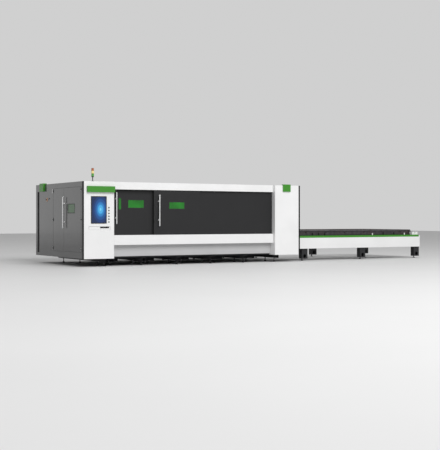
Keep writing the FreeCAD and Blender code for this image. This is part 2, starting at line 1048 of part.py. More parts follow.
switch_centre = Vector(x_left, y_groove - switch_setback, z_base + switch_rise)


def main_switch_plate():
    sweep = Vector(-switch_plate_thickness, 0, 0)
    return flat_sided_rod(switch_plate_radius, switch_sides, switch_centre, sweep)


def main_switch_knob():
    # Round base with a raised grip across it
    front = switch_centre - Vector(switch_plate_thickness, 0, 0)
    base = flat_sided_rod(knob_radius, switch_sides, front, Vector(-knob_height, 0, 0))
    x1 = front.x - knob_height
    half = knob_grip / 2
    reach = math.sqrt((knob_radius * math.cos(math.pi / switch_sides)) ** 2 - half ** 2)
    grip = block(
        x1 - knob_grip_height, x1, front.y - half, front.y + half, front.z - reach, front.z + reach
    )
    return merged([base, grip])


# Rear wall, roof, right wall and partition

def rear_wall():
    first = x_left + post_width
    width = (cabin_length - 2 * post_width) / rear_panel_count
    panels = []
    for k in range(rear_panel_count):
        x0 = first + k * width
        panel = pan(x0, x0 + width, y_inside_back, y_back, z_base, z_top, "-y")
        if k % 2 == 1:
            middle = x0 + width / 2
            slots = []
            for row in range(louvre_count):
                z0 = z_base + louvre_rise + row * louvre_pitch
                slots.append(block(
                    middle - louvre_length / 2, middle + louvre_length / 2,
                    y_inside_back, y_back, z0, z0 + louvre_height,
                ))
            panel = panel.cut(slots)
        panels.append(panel)
    return panels + [corner_post(x_right, -1)]


def roof_panels():
    width = (cabin_length - 2 * wall_thickness) / roof_panel_count
    panels = []
    for k in range(roof_panel_count):
        x0 = x_side_inner + k * width
        panels.append(pan(x0, x0 + width, y_inner, y_inside_back, z_ceiling, z_top, "-z"))
    return panels


def partition():
    # Wall between the equipment bay and the cutting room
    return pan(
        x_console - wall_thickness, x_console, y_inner, y_inside_back, z_base, z_ceiling, "-x"
    )


y_doorway = y_pallet - doorway_side_gap
y_doorway_end = y_pallet_end + doorway_side_gap
y_lift_door = y_doorway - pallet_door_lap
x_lift_door = x_inside_right - pallet_door_play - pallet_door_thickness


def door_jamb():
    # Wall panel beside the doorway with the channel that guides the pallet door
    y_lip = y_doorway - guide_lip
    y_floor = y_lift_door - pallet_door_play
    x_guide = x_inside_right - guide_channel
    plan = [
        (x_right, y_inner),
        (x_right, y_doorway),
        (x_inside_right - pallet_door_play, y_doorway),
        (x_inside_right - pallet_door_play, y_floor),
        (x_lift_door - pallet_door_play, y_floor),
        (x_lift_door - pallet_door_play, y_doorway),
        (x_guide, y_doorway),
        (x_guide, y_lip),
        (x_inside_right, y_lip),
        (x_inside_right, y_inner),
    ]
    jamb = prism_z(plan, z_base, z_ceiling)
    top = block(x_inside_right, x_right, y_inner, y_doorway, z_ceiling, z_top)
    return merged([jamb, top])


def rear_jamb():
    # The same channel at the rear, with the wall panel as far as the corner post
    plan_end = y_back - post_width
    jamb = mirrored(door_jamb())
    y_far = 2 * y_middle - y_inner
    if y_far > plan_end:
        return jamb.cut(block(x_inside_right, x_right, plan_end, y_far, z_base, z_top))
    return merged([jamb, block(x_inside_right, x_right, y_far, plan_end, z_base, z_top)])


def right_wall():
    sill = block(x_inside_right, x_right, y_doorway, y_doorway_end, z_base, z_doorway)
    header = block(x_inside_right, x_right, y_doorway, y_doorway_end, z_doorway_top, z_top)
    return [door_jamb(), rear_jamb(), sill, header]


def pallet_door():
    # Shown raised, clear of the doorway
    height = z_doorway_top - z_doorway
    y1 = y_doorway_end + pallet_door_lap
    x1 = x_inside_right - pallet_door_play
    z1 = z_doorway_top + height
    return pan(x_lift_door, x1, y_lift_door, y1, z_doorway_top, z1, "-x")


def laser_source():
    x0 = x_left + source_left
    y0 = y_face + source_front
    x1 = x0 + source_width
    y1 = y0 + source_depth
    z0 = z_base + floor_thickness
    z1 = z0 + source_plinth
    z2 = z0 + source_height
    inset = source_plinth_inset
    plinth = block(x0 + inset, x1 - inset, y0 + inset, y1 - inset, z0, z1)
    body = block(x0, x1, y0, y1, z1, z2)
    rim = [(x0, None, z2), (x1, None, z2)]
    body = body.makeChamfer(source_chamfer, edges_at(body, Vector(0, 1, 0), rim))
    return merged([plinth, body])


# Base, bed and feet

cross_pitch = (cross_beam_last - cross_beam_first) / (cross_beam_count - 1)
cross_centres = [x_left + cross_beam_first + k * cross_pitch for k in range(cross_beam_count)]
tie_centres = [x + bed_tie_offset for x in cross_centres[:-1]]
y_cross = y_face + cross_beam_front
y_cross_end = y_back - cross_beam_rear_inset
y_tie = y_face + bed_tie_front
y_tie_end = 2 * y_middle - y_tie


def tube_along_y(x_centre, y0, y1, z0):
    half = cross_beam_width / 2
    wall = cross_beam_wall
    z1 = z0 + cross_beam_height
    outside = block(x_centre - half, x_centre + half, y0, y1, z0, z1)
    return outside.cut(block(
        x_centre - half + wall, x_centre + half - wall, y0, y1, z0 + wall, z1 - wall
    ))


def base_frame():
    # Cross beams under the cabin, shorter ties under the bed and the bay's floor
    beams = [tube_along_y(x, y_cross, y_cross_end, z_cross_beam) for x in cross_centres]
    ties = [tube_along_y(x, y_tie, y_tie_end, z_cross_beam) for x in tie_centres]
    floor = block(
        x_side_inner, x_console - wall_thickness, y_inner, y_back - post_width,
        z_base, z_base + floor_thickness,
    )
    return beams + ties + [floor]


def bed_beams():
    # Box beams that carry the gantry
    outside = block(x_console, x_bed_end, y_inner, y_bed_inner, z_base, bed_height)
    hollow = block(
        x_console, x_bed_end, y_inner + bed_wall, y_bed_inner - bed_wall,
        z_base + bed_wall, bed_height - bed_wall,
    )
    front = outside.cut(hollow)
    return [front, mirrored(front)]


def levelling_foot(x, y, z_end):
    pad = flat_sided_rod(foot_radius, foot_sides, Vector(x, y, 0), Vector(0, 0, foot_thickness))
    start = Vector(x, y, foot_thickness)
    stud = flat_sided_rod(stud_radius, stud_sides, start, Vector(0, 0, z_end - foot_thickness))
    return merged([pad, stud])


def table_leg_lefts():
    first = x_right + leg_first
    pitch = (x_end - leg_width - first) / (leg_count - 1)
    return [first + k * pitch for k in range(leg_count)]


def levelling_feet():
    feet = []
    for x in cross_centres:
        for y in (y_cross + front_foot_setback, y_cross + second_foot_setback, y_bed_rear):
            feet.append(levelling_foot(x, y, z_cross_beam))
    for x in tie_centres:
        for y in (y_tie + tie_foot_setback, y_tie_end - tie_foot_setback):
            feet.append(levelling_foot(x, y, z_cross_beam))
    y_leg = y_table + wall_thickness + leg_depth / 2
    for x_leg in table_leg_lefts():
        for y in (y_leg, 2 * y_middle - y_leg):
            feet.append(levelling_foot(x_leg + leg_foot_inset, y, leg_base))
    return feet


# Gantry, cross carriage and cutting head

x_gantry = x_console + gantry_park
y_guide = y_inner + bed_beam_width / 2
z_gantry_foot = bed_height + guide_rail_height - gantry_foot_grip
z_gantry = z_gantry_foot + gantry_foot_height
z_gantry_top = z_gantry + gantry_beam_height
x_gantry_front = x_gantry + (gantry_foot_length + gantry_beam_width) / 2
x_carriage = x_gantry_front + cross_guide
x_head_guide = x_carriage + carriage_thickness
x_head = x_head_guide + head_guide


def gantry_rails():
    half = guide_rail_width / 2
    rail = block(
        x_console + guide_rail_inset, x_bed_end - guide_rail_inset,
        y_guide - half, y_guide + half, bed_height, bed_height + guide_rail_height,
    )
    return [rail, mirrored(rail)]


def gantry_section(inset):
    # Beam's outline across X and Z, with cut corners
    x0 = x_gantry + (gantry_foot_length - gantry_beam_width) / 2 + inset
    x1 = x_gantry_front - inset
    z0 = z_gantry + inset
    z1 = z_gantry_top - inset
    cut = gantry_beam_chamfer
    return [(x0, z0), (x1, z0), (x1, z1 - cut), (x1 - cut, z1), (x0 + cut, z1), (x0, z1 - cut)]


def gantry_beam():
    y0 = y_guide - gantry_foot_width / 2
    y1 = 2 * y_middle - y0
    beam = prism_y(gantry_section(0), y0, y1).cut(prism_y(gantry_section(gantry_beam_wall), y0, y1))
    half = guide_rail_width / 2
    foot = block(
        x_gantry, x_gantry + gantry_foot_length, y0, y0 + gantry_foot_width, z_gantry_foot, z_gantry
    )
    foot = foot.cut(block(
        x_gantry, x_gantry + gantry_foot_length, y_guide - half, y_guide + half,
        z_gantry_foot, bed_height + guide_rail_height,
    ))
    guides = []
    for z0 in (z_gantry + cross_guide_inset, z_gantry_top - cross_guide_inset - cross_guide):
        guides.append(block(x_gantry_front, x_carriage, y0, y1, z0, z0 + cross_guide))
    return merged([beam, foot, mirrored(foot)] + guides)


def cross_carriage():
    half = carriage_width / 2
    plate = block(
        x_carriage, x_head_guide, y_middle - half, y_middle + half,
        z_gantry, z_gantry_top + carriage_overhang,
    )
    corners = [(None, y_middle + side * half, z_gantry_top + carriage_overhang) for side in (-1, 1)]
    plate = rounded(plate, edge_radius, Vector(1, 0, 0), corners)
    ways = []
    for side in (-1, 1):
        y0 = y_middle + side * (head_width / 2 - head_guide) - head_guide / 2
        ways.append(block(
            x_head_guide, x_head, y0, y0 + head_guide, z_gantry, z_gantry_top + carriage_overhang
        ))
    return merged([plate] + ways)


def cutting_head():
    # Slide block with a collar and a tapered nozzle below it
    half = head_width / 2
    z_tip = z_lower_pallet + pallet_height + nozzle_clearance
    z_body = z_tip + nozzle_length
    body = block(
        x_head, x_head + head_depth_x, y_middle - half, y_middle + half, z_body, z_body + head_height
    )
    edge_places = [(x_head + head_depth_x, y_middle + side * half, None) for side in (-1, 1)]
    body = body.makeChamfer(head_chamfer, edges_at(body, Vector(0, 0, 1), edge_places))
    tip = Vector(x_head + head_depth_x / 2, y_middle, z_tip)
    taper = Vector(0, 0, nozzle_length - nozzle_collar)
    cone = tapered_rod(nozzle_tip_radius, nozzle_radius, nozzle_sides, tip, taper)
    collar = flat_sided_rod(nozzle_radius, nozzle_sides, tip + taper, Vector(0, 0, nozzle_collar))
    return merged([body, cone, collar])


# Pallets with toothed slats

def pallet_side_member(x0, z0):
    # Channel, open outwards, with slots between the slats
    x1 = x0 + pallet_length - pallet_end
    x0 = x0 + pallet_end
    wall = pallet_side_wall
    y0 = y_pallet
    y1 = y_pallet + pallet_side
    z1 = z0 + pallet_height
    outline = [
        (y0, z0),
        (y1, z0),
        (y1, z1),
        (y0, z1),
        (y0, z1 - wall),
        (y1 - wall, z1 - wall),
        (y1 - wall, z0 + wall),
        (y0, z0 + wall),
    ]
    member = prism_x(outline, x0, x1)
    pitch = (x1 - x0) / pallet_slot_count
    slots = []
    for k in range(pallet_slot_count):
        x_slot = x0 + (k + 0.5) * pitch - pallet_slot_length / 2
        z_slot = z0 + pallet_slot_rise
        slots.append(block(
            x_slot, x_slot + pallet_slot_length, y1 - wall, y1, z_slot, z_slot + pallet_slot_height
        ))
    return member.cut(slots)


def pallet_end_member(x_end_face, side, z0):
    # Sloped beam across the pallet's end; side is 1 at the right and -1 at the left
    z1 = z0 + pallet_height
    outline = [
        (x_end_face, z0),
        (x_end_face, z0 + pallet_nose),
        (x_end_face - side * pallet_slope, z1),
        (x_end_face - side * pallet_end, z1),
        (x_end_face - side * pallet_end, z0),
    ]
    return prism_y(outline, y_pallet, y_pallet_end)


def slat(x_centre, z0):
    # Upright strip with saw teeth along its upper edge
    y0 = y_pallet + pallet_side
    y1 = y_pallet_end - pallet_side
    z_low = z0 + pallet_rib_height
    z_tip = z0 + pallet_height
    z_root = z_tip - slat_tooth_height
    pitch = (y1 - y0) / slat_teeth
    outline = [(y1, z_low), (y0, z_low)]
    for k in range(slat_teeth):
        outline.append((y0 + k * pitch, z_root))
        outline.append((y0 + (k + 0.5) * pitch, z_tip))
    outline.append((y1, z_root))
    return prism_x(outline, x_centre - slat_thickness / 2, x_centre + slat_thickness / 2)


def pallet(x0, z0):
    x1 = x0 + pallet_length
    side = pallet_side_member(x0, z0)
    frame = [
        side,
        mirrored(side),
        pallet_end_member(x0, -1, z0),
        pallet_end_member(x1, 1, z0),
    ]
    inner = x0 + pallet_end
    span = pallet_length - 2 * pallet_end
    for k in range(pallet_rib_count):
        x_rib = inner + (k + 0.5) * span / pallet_rib_count
        frame.append(block(
            x_rib - pallet_rib_width / 2, x_rib + pallet_rib_width / 2,
            y_pallet + pallet_side, y_pallet_end - pallet_side, z0, z0 + pallet_rib_height,
        ))
    pitch = span / slat_count
    slats = [slat(inner + (k + 0.5) * pitch, z0) for k in range(slat_count)]
    return [merged(frame)] + slats


def ledge(x0, x1, z_ledge):
    # Angle along the inner face of the beams, which carries a pallet's edge
    y0 = y_bed_inner
    outline = [
        (y0, z_ledge - rail_web_height),
        (y0 + ledge_thickness, z_ledge - rail_web_height),
        (y0 + ledge_thickness, z_ledge - ledge_thickness),
        (y0 + ledge_width, z_ledge - ledge_thickness),
        (y0 + ledge_width, z_ledge),
        (y0, z_ledge),
    ]
    return prism_x(outline, x0, x1)


def pallet_rails():
    rails = []
    for z_ledge in (pallet_base, z_lower_pallet):
        spans = ((x_console, x_bed_end - rail_end_gap), (x_right, x_end - wall_thickness))
        for x0, x1 in spans:
            rail = ledge(x0, x1, z_ledge)
            rails.append(rail)
            rails.append(mirrored(rail))
    return rails


# Exchange table

y_table_beam = y_table + wall_thickness
y_table_rear = 2 * y_middle - y_table
x_table_inner = x_end - wall_thickness


def table_panels():
    front = pan(x_right, x_table_inner, y_table, y_table_beam, table_base, z_table_top, "+y")
    end = pan(
        x_table_inner, x_end, y_table, y_table_rear, table_base, z_table_top + end_panel_rise, "-x"
    )
    return [front, mirrored(front), end]


def table_stripes():
    strip = block(
        x_right, x_table_inner, y_table, y_table_beam, z_table_top, z_table_top + stripe_height
    )
    return [strip, mirrored(strip)]


def table_beam():
    # Channel, open outwards, behind the white panel
    wall = table_beam_wall
    outline = [
        (y_table_beam, table_base),
        (y_bed_inner, table_base),
        (y_bed_inner, z_table_top),
        (y_table_beam, z_table_top),
        (y_table_beam, z_table_top - wall),
        (y_bed_inner - wall, z_table_top - wall),
        (y_bed_inner - wall, table_base + wall),
        (y_table_beam, table_base + wall),
    ]
    return prism_x(outline, x_right, x_table_inner)


def table_leg(x0):
    # Box leg with a round hole through its front and back
    x1 = x0 + leg_width
    y1 = y_table_beam + leg_depth
    outside = block(x0, x1, y_table_beam, y1, leg_base, table_base)
    hollow = block(
        x0 + leg_wall, x1 - leg_wall, y_table_beam + leg_wall, y1 - leg_wall,
        leg_base + leg_wall, table_base - leg_wall,
    )
    start = Vector(x0 + leg_width / 2, y_table_beam, leg_hole_height)
    hole = flat_sided_rod(leg_hole_radius, leg_hole_sides, start, Vector(0, leg_depth, 0))
    return outside.cut([hollow, hole])


def table_frame():
    beam = table_beam()
    pieces = [beam, mirrored(beam)]
    for x0 in table_leg_lefts():
        leg = table_leg(x0)
        pieces += [leg, mirrored(leg)]
        x_tie = x0 + (leg_width - table_tie_width) / 2
        pieces.append(block(
            x_tie, x_tie + table_tie_width, y_bed_inner, y_bed_rear_inner,
            table_base, z_lower_pallet - rail_web_height - table_tie_clearance,
        ))
    return pieces


def stop_section(y_reach):
    # Outline that stands on the table's beam and reaches over the upper rail: (y, z) points
    y0 = y_table_beam + stop_setback
    z1 = pallet_base + stop_height
    return [
        (y0, z_table_top),
        (y_bed_inner, z_table_top),
        (y_bed_inner, pallet_base),
        (y_reach, pallet_base),
        (y_reach, z1),
        (y0, z1),
    ]


def end_stop():
    # Guide beside the pallet's end and a stop beyond it, notched in the middle
    x0 = x_pallet + pallet_length + stop_gap
    x_guide = x0 - stop_guide_length
    x1 = x0 + stop_length
    y1 = y_bed_inner + ledge_width
    guide = prism_x(stop_section(y_pallet - stop_guide_play), x_guide, x0)
    stop = prism_x(stop_section(y1), x0, x1)
    x_notch = (x_guide + x1 - stop_notch_width) / 2
    z1 = pallet_base + stop_height
    notch = block(x_notch, x_notch + stop_notch_width, y_table_beam, y1, z1 - stop_notch_depth, z1)
    return merged([guide, stop]).cut(notch)


def table_end_stops():
    stop = end_stop()
    return [stop, mirrored(stop)]


def table_guide(x_centre):
    # Angle on the table's beam, with its upright beside the upper pallet
    y0 = y_bed_inner - guide_foot
    y1 = y_bed_inner - guide_thickness
    z1 = z_table_top + guide_thickness
    z2 = pallet_base + guide_height
    outline = [
        (y0, z_table_top), (y_bed_inner, z_table_top), (y_bed_inner, z2), (y1, z2), (y1, z1), (y0, z1),
    ]
    return prism_x(outline, x_centre - guide_width / 2, x_centre + guide_width / 2)


def table_guides():
    offsets = [left_guides_start + k * left_guides_pitch for k in range(left_guides_count)]
    offsets += [right_guides_start + k * right_guides_pitch for k in range(right_guides_count)]
    guides = [table_guide(x_right + offset) for offset in offsets]
    return guides + [mirrored(guide) for guide in guides]


os.makedirs("parts", exist_ok=True)

save("console_housing", console_housing())
save("corner_trim", left_corner_trim(), right_corner_trim())
save("sign_board", sign_board())
save("display_frame", display_frame())
save("display_glass", display_glass())
save("switch_bodies", *[switch_body(z) for z in button_heights])
for number, button_z in enumerate(button_heights, start=1):
    save("button_" + str(number), push_button(button_z))
save("keyboard_drawer", keyboard_drawer())
save("tower_base", tower_base())
for level, colour in enumerate(("green", "yellow", "red")):
    save("tower_lamp_" + colour, tower_lamp(level))

save("top_beam", top_beam())
save("lower_rail", lower_rail())
save("skirt", skirt())
save("fixed_front_panel", fixed_front_panel())
save("left_sliding_door", sliding_leaf(x_left_door, left_door_width, y_left_door, left_windows))
save("right_sliding_door", sliding_leaf(x_right_door, right_door_width, y_right_door, right_windows))
save("left_door_windows", *panes(x_left_door, y_left_door, left_windows))
save("right_door_window", *panes(x_right_door, y_right_door, right_windows))
save("left_door_handle", left_door_handle())
save("right_door_handle", right_door_handle())
save("right_door_seal", right_door_seal())
save("right_pillar", right_pillar())
save("corner_blocks", pillar_block(), side_block())

save("side_panels", *side_panels())
save("side_groove", side_groove())
save("side_door_front", side_door_front())
save("side_door_rear", side_door_rear())
save("side_door_window", side_door_window())
save("side_door_handle", side_door_handle())
save("side_door_hinges", *side_door_hinges())
save("main_switch_plate", main_switch_plate())
save("main_switch_knob", main_switch_knob())

save("rear_wall", *rear_wall())
save("roof_panels", *roof_panels())
save("right_wall", *right_wall())
save("pallet_door", pallet_door())
save("partition", partition())
save("laser_source", laser_source())
save("base_frame", *base_frame())
save("bed_beams", *bed_beams())
save("levelling_feet", *levelling_feet())

save("gantry_rails", *gantry_rails())
save("gantry_beam", gantry_beam())
save("cross_carriage", cross_carriage())
save("cutting_head", cutting_head())
save("upper_pallet", *pallet(x_pallet, pallet_base))
save("lower_pallet", *pallet(x_pallet - pallet_stroke, z_lower_pallet))
save("pallet_rails", *pallet_rails())

save("table_panels", *table_panels())
save("table_stripes", *table_stripes())
save("table_frame", *table_frame())
save("table_end_stops", *table_end_stops())
save("table_guides", *table_guides())
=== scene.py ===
import json
import math

import bmesh
import bpy
import numpy as np
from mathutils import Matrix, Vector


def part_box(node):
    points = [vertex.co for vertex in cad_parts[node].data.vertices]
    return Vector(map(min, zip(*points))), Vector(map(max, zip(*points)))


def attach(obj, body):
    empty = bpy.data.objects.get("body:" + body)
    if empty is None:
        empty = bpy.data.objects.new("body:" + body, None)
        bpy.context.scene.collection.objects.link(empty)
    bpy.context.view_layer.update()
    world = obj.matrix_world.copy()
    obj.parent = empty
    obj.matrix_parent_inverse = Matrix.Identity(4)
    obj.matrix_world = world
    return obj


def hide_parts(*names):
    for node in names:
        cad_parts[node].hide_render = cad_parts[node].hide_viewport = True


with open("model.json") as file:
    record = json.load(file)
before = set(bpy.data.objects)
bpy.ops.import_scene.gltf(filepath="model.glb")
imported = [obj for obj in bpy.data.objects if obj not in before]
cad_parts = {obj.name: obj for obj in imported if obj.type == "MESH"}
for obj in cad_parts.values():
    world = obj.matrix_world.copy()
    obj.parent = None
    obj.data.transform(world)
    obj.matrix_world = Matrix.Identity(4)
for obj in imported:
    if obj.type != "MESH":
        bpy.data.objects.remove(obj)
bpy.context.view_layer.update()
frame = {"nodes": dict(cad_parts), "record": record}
print("frame loaded:", len(frame["nodes"]), "nodes")


def fill(tree, node, inputs):
    # a socket is linked to the input, and any other value is set on it
    for name, value in inputs.items():
        if isinstance(value, bpy.types.NodeSocket):
            tree.links.new(value, node.inputs[name])
        else:
            node.inputs[name].default_value = value


def addNode(tree, kind, inputs, **settings):
    node = tree.nodes.new("ShaderNode" + kind)
    for name, value in settings.items():
        setattr(node, name, value)
    fill(tree, node, inputs)
    return node


def newMaterial():
    # empty node tree with a shader and an output
    material = bpy.data.materials.new("finish")
    material.use_nodes = True
    tree = material.node_tree
    tree.nodes.clear()
    shader = addNode(tree, "BsdfPrincipled", {})
    addNode(tree, "OutputMaterial", {"Surface": shader.outputs["BSDF"]})
    return material, tree, shader


def objectPlace(tree, stretch=(1, 1, 1)):
    # place on the machine, in metres, stretched by a factor along each axis
    place = addNode(tree, "TexCoord", {}).outputs["Object"]
    return addNode(tree, "Mapping", {"Vector": place, "Scale": stretch}).outputs["Vector"]


def objectNoise(tree, scale, detail=3.0, stretch=(1, 1, 1)):
    # cloudy pattern fixed to the machine, in cells per metre
    inputs = {"Vector": objectPlace(tree, stretch), "Scale": scale, "Detail": detail}
    return addNode(tree, "TexNoise", inputs).outputs["Fac"]


def spread(tree, value, low, high, first=0.3, last=0.7):
    # turns a pattern between first and last into values from low to high
    inputs = {"Value": value, "From Min": first, "From Max": last, "To Min": low, "To Max": high}
    return addNode(tree, "MapRange", inputs).outputs["Result"]


def tinted(tree, value, first, second):
    # colour that goes from the first to the second as the value goes from 0 to 1
    inputs = {"Factor": value, "A": first, "B": second}
    return addNode(tree, "Mix", inputs, data_type="RGBA").outputs["Result"]


def shaded(colour, factor):
    return (*[min(c * factor, 1) for c in colour], 1)


def mottled(tree, colour, scale, detail, dark, light):
    # colour that wanders in clouds between two shades of itself
    clouds = spread(tree, objectNoise(tree, scale, detail), 0, 1)
    return tinted(tree, clouds, shaded(colour, dark), shaded(colour, light))


def bumped(tree, value, depth, strength):
    # fine relief, with its depth in metres
    inputs = {"Height": value, "Distance": depth, "Strength": strength}
    return addNode(tree, "Bump", inputs).outputs["Normal"]


def paint(colour, roughness, coat=0.0, grain=240, gloss=0.12, specular=0.5):
    # powder coat: fine orange peel and a faint change of tone over a metre
    material, tree, shader = newMaterial()
    fill(tree, shader, {
        "Base Color": mottled(tree, colour, scale=1.3, detail=3, dark=0.97, light=1.03),
        "Roughness": spread(tree, objectNoise(tree, 3.5, detail=4), roughness * 0.9, roughness * 1.12),
        "Coat Weight": coat,
        "Coat Roughness": gloss,
        "Specular IOR Level": specular,
        "Normal": bumped(tree, objectNoise(tree, grain, detail=2), depth=0.0004, strength=0.25),
    })
    return material


def drawn(colour, roughness, streak=(60, 60, 2), metallic=1.0):
    # drawn or ground metal: streaks along the axis that is stretched least
    material, tree, shader = newMaterial()
    lines = objectNoise(tree, scale=8, detail=4, stretch=streak)
    fill(tree, shader, {
        "Metallic": metallic,
        "Base Color": tinted(tree, spread(tree, lines, 0, 1), shaded(colour, 0.86), shaded(colour, 1.05)),
        "Roughness": spread(tree, lines, roughness * 0.75, roughness * 1.3),
        "Normal": bumped(tree, lines, depth=0.0002, strength=0.3),
    })
    return material


def moulded(colour, roughness, glow=0.0):
    # moulded plastic: fine spark-eroded grain, a little paler where it is worn
    material, tree, shader = newMaterial()
    grain = objectNoise(tree, scale=700, detail=2)
    fill(tree, shader, {
        "Base Color": mottled(tree, colour, scale=14, detail=4, dark=1, light=1.14),
        "Roughness": spread(tree, grain, roughness * 0.85, roughness * 1.15),
        "Emission Color": (*colour, 1),
        "Emission Strength": glow,
        "Normal": bumped(tree, grain, depth=0.0002, strength=0.2),
    })
    return material


def rubber(colour):
    # matt, with a chalky bloom in patches
    material, tree, shader = newMaterial()
    fill(tree, shader, {
        "Base Color": mottled(tree, colour, scale=9, detail=5, dark=1, light=1.8),
        "Roughness": spread(tree, objectNoise(tree, scale=40), low=0.62, high=0.85),
    })
    return material


def millScale(colour, brown=(0.095, 0.05, 0.034, 1)):
    # rolled steel, mottled from scale, with brown patches and burnt spatter
    material, tree, shader = newMaterial()
    patches = spread(tree, objectNoise(tree, 3.2, detail=5), low=0, high=0.55, first=0.5, last=0.75)
    steel = mottled(tree, colour, scale=11, detail=6, dark=0.72, light=1.3)
    fill(tree, shader, {
        "Metallic": 0.35,
        "Base Color": tinted(tree, patches, steel, brown),
        "Roughness": spread(tree, objectNoise(tree, scale=30, detail=4), low=0.42, high=0.7),
        "Normal": bumped(tree, objectNoise(tree, scale=85, detail=5), depth=0.0012, strength=0.4),
    })
    return material


def pane(colour, gloss=0.25, specular=0.4):
    # filter glass against the beam's light: green, in slow changes of depth
    material, tree, shader = newMaterial()
    fill(tree, shader, {
        "Base Color": mottled(tree, colour, scale=2.6, detail=1, dark=0.62, light=1.25),
        "Roughness": spread(tree, objectNoise(tree, scale=6, detail=3), low=0.04, high=0.1),
        "Transmission Weight": 0.12,
        "Specular IOR Level": specular,
        "Coat Weight": gloss,
        "Coat Roughness": 0.03,
    })
    return material


screenGlow = {
    "centre": (-5.645, -1.828, 1.56),  # a little right of the middle
    "stretch": (1.55, 1.0, 0.95),  # makes the glow taller than it is wide
    "reach": 0.38,  # metres to where the glow ends
    "rings": 13,  # per metre
    "strengths": (0.72, 0.95),  # between the rings and on them
    "dark": (0.006, 0.009, 0.02),
    "tones": [  # share of the reach and colour there
        (0.0, (0.22, 0.76, 1.0)), (0.22, (0.05, 0.49, 1.0)),
        (0.5, (0.005, 0.078, 0.37)), (1.0, (0.007, 0.012, 0.030)),
    ],
}


def screen():
    # dark display with a soft oval glow, crossed by faint even rings
    material, tree, shader = newMaterial()
    place = objectPlace(tree, screenGlow["stretch"])
    centre = [c * s for c, s in zip(screenGlow["centre"], screenGlow["stretch"])]
    away = addNode(tree, "VectorMath", {0: place, 1: centre}, operation="DISTANCE").outputs["Value"]
    ramp = addNode(tree, "ValToRGB", {"Fac": spread(tree, away, 0, 1, first=0, last=screenGlow["reach"])})
    ramp.color_ramp.interpolation = "B_SPLINE"
    while len(ramp.color_ramp.elements) < len(screenGlow["tones"]):
        ramp.color_ramp.elements.new(0.5)
    for element, (share, colour) in zip(ramp.color_ramp.elements, screenGlow["tones"]):
        element.position = share
        element.color = (*colour, 1)
    turns = addNode(tree, "Math", {0: away, 1: 2 * math.pi * screenGlow["rings"]}, operation="MULTIPLY")
    wave = addNode(tree, "Math", {0: turns.outputs["Value"]}, operation="SINE")
    fill(tree, shader, {
        "Base Color": (*screenGlow["dark"], 1),
        "Emission Color": ramp.outputs["Color"],
        "Emission Strength": spread(tree, wave.outputs["Value"], *screenGlow["strengths"], first=-1, last=1),
        "Roughness": spread(tree, objectNoise(tree, scale=18, detail=4), low=0.06, high=0.16),
    })
    return material


# the frame's material slots, then the finishes of single pieces
materials = {
    "white_paint": paint((0.80, 0.80, 0.80), roughness=0.42, coat=0.1),
    "light_grey_paint": paint((0.475, 0.475, 0.48), roughness=0.45),
    "side_grey_paint": paint((0.080, 0.080, 0.081), roughness=0.12, coat=0.2, gloss=0.03, specular=0.38),
    "door_grey_paint": paint((0.019, 0.019, 0.020), roughness=0.48, specular=0.25),
    "green_paint": paint((0.036, 0.235, 0.010), roughness=0.42, coat=0.1),
    "black_paint": paint((0.010, 0.010, 0.010), roughness=0.5, specular=0.15),
    "frame_grey_paint": paint((0.022, 0.022, 0.024), roughness=0.55, grain=160, specular=0.3),
    "pallet_steel": millScale((0.062, 0.055, 0.060)),
    "bright_steel": drawn((0.86, 0.87, 0.88), roughness=0.42),
    "black_plastic": moulded((0.018, 0.020, 0.019), roughness=0.42),
    "yellow_plastic": moulded((0.74, 0.60, 0.25), roughness=0.28, glow=0.10),
    "lamp_green_plastic": moulded((0.07, 0.30, 0.05), roughness=0.25, glow=0.03),
    "lamp_red_plastic": moulded((0.40, 0.12, 0.05), roughness=0.25, glow=0.03),
    "orange_plastic": moulded((0.62, 0.36, 0.22), roughness=0.4),
    "green_glass": pane((0.010, 0.185, 0.012)),
    "screen_glass": screen(),
    "seal_rubber": rubber((0.012, 0.012, 0.012)),
    "aluminium_parts": drawn((0.62, 0.63, 0.64), roughness=0.34, streak=(3, 40, 40)),
    "button_dark": moulded((0.028, 0.045, 0.034), roughness=0.40),
    "button_pale": moulded((0.16, 0.27, 0.24), roughness=0.35),
    # grey of the strip round the drawer: painted shade of the gap round its front
    "drawer_shade_grey": rubber((0.20, 0.20, 0.20)),
    "joint_dark": rubber((0.06, 0.06, 0.06)),
    "handle_steel": drawn((0.97, 0.97, 0.97), roughness=0.36, metallic=0.85),
    # far lighter than side_grey_paint: painted light that offsets the shade and dark reflections on the
    # hinge knuckles
    "hinge_grey_painted_light": paint((0.30, 0.30, 0.30), roughness=0.55),
    "knob_pale": moulded((0.34, 0.28, 0.24), roughness=0.4),
    "side_glass": pane((0.020, 0.110, 0.020), gloss=0.0, specular=0.35),
    "dull_steel": drawn((0.10, 0.10, 0.105), roughness=0.5, streak=(30, 30, 3)),
    "slat_steel": millScale((0.11, 0.10, 0.10)),
    # lighter copy of pallet_steel: painted highlight on the lit lip of each pallet's upper flange
    "flange_steel_painted_highlight": millScale((0.120, 0.112, 0.120)),
}
# the hinges take the lighter grey as painted light against their shade
ownFinish = {"side_door_hinges": "hinge_grey_painted_light", "side_door_window": "side_glass"}  # node: finish
for name, material in materials.items():
    material.name = name
for part in frame["record"]["subparts"]:
    nodeMaterials = frame["nodes"][part["node"]].data.materials
    nodeMaterials.clear()
    nodeMaterials.append(materials[ownFinish.get(part["node"], part["material_slot"])])
print("materials on the frame")


# rows: where a shape's own width, height and depth point when it faces that way
facings = {
    "up": np.array([(1, 0, 0), (0, 1, 0), (0, 0, 1)], float),
    "front": np.array([(1, 0, 0), (0, 0, 1), (0, -1, 0)], float),
    "rear": np.array([(-1, 0, 0), (0, 0, 1), (0, 1, 0)], float),
    "left": np.array([(0, -1, 0), (0, 0, 1), (-1, 0, 0)], float),
    "right": np.array([(0, 1, 0), (0, 0, 1), (1, 0, 0)], float),
}


def form(vertices, loops, sizes):
    # corners, then the corners of each face in turn, then how many each face has
    return {"vertices": np.asarray(vertices, float), "loops": np.asarray(loops), "sizes": np.asarray(sizes)}


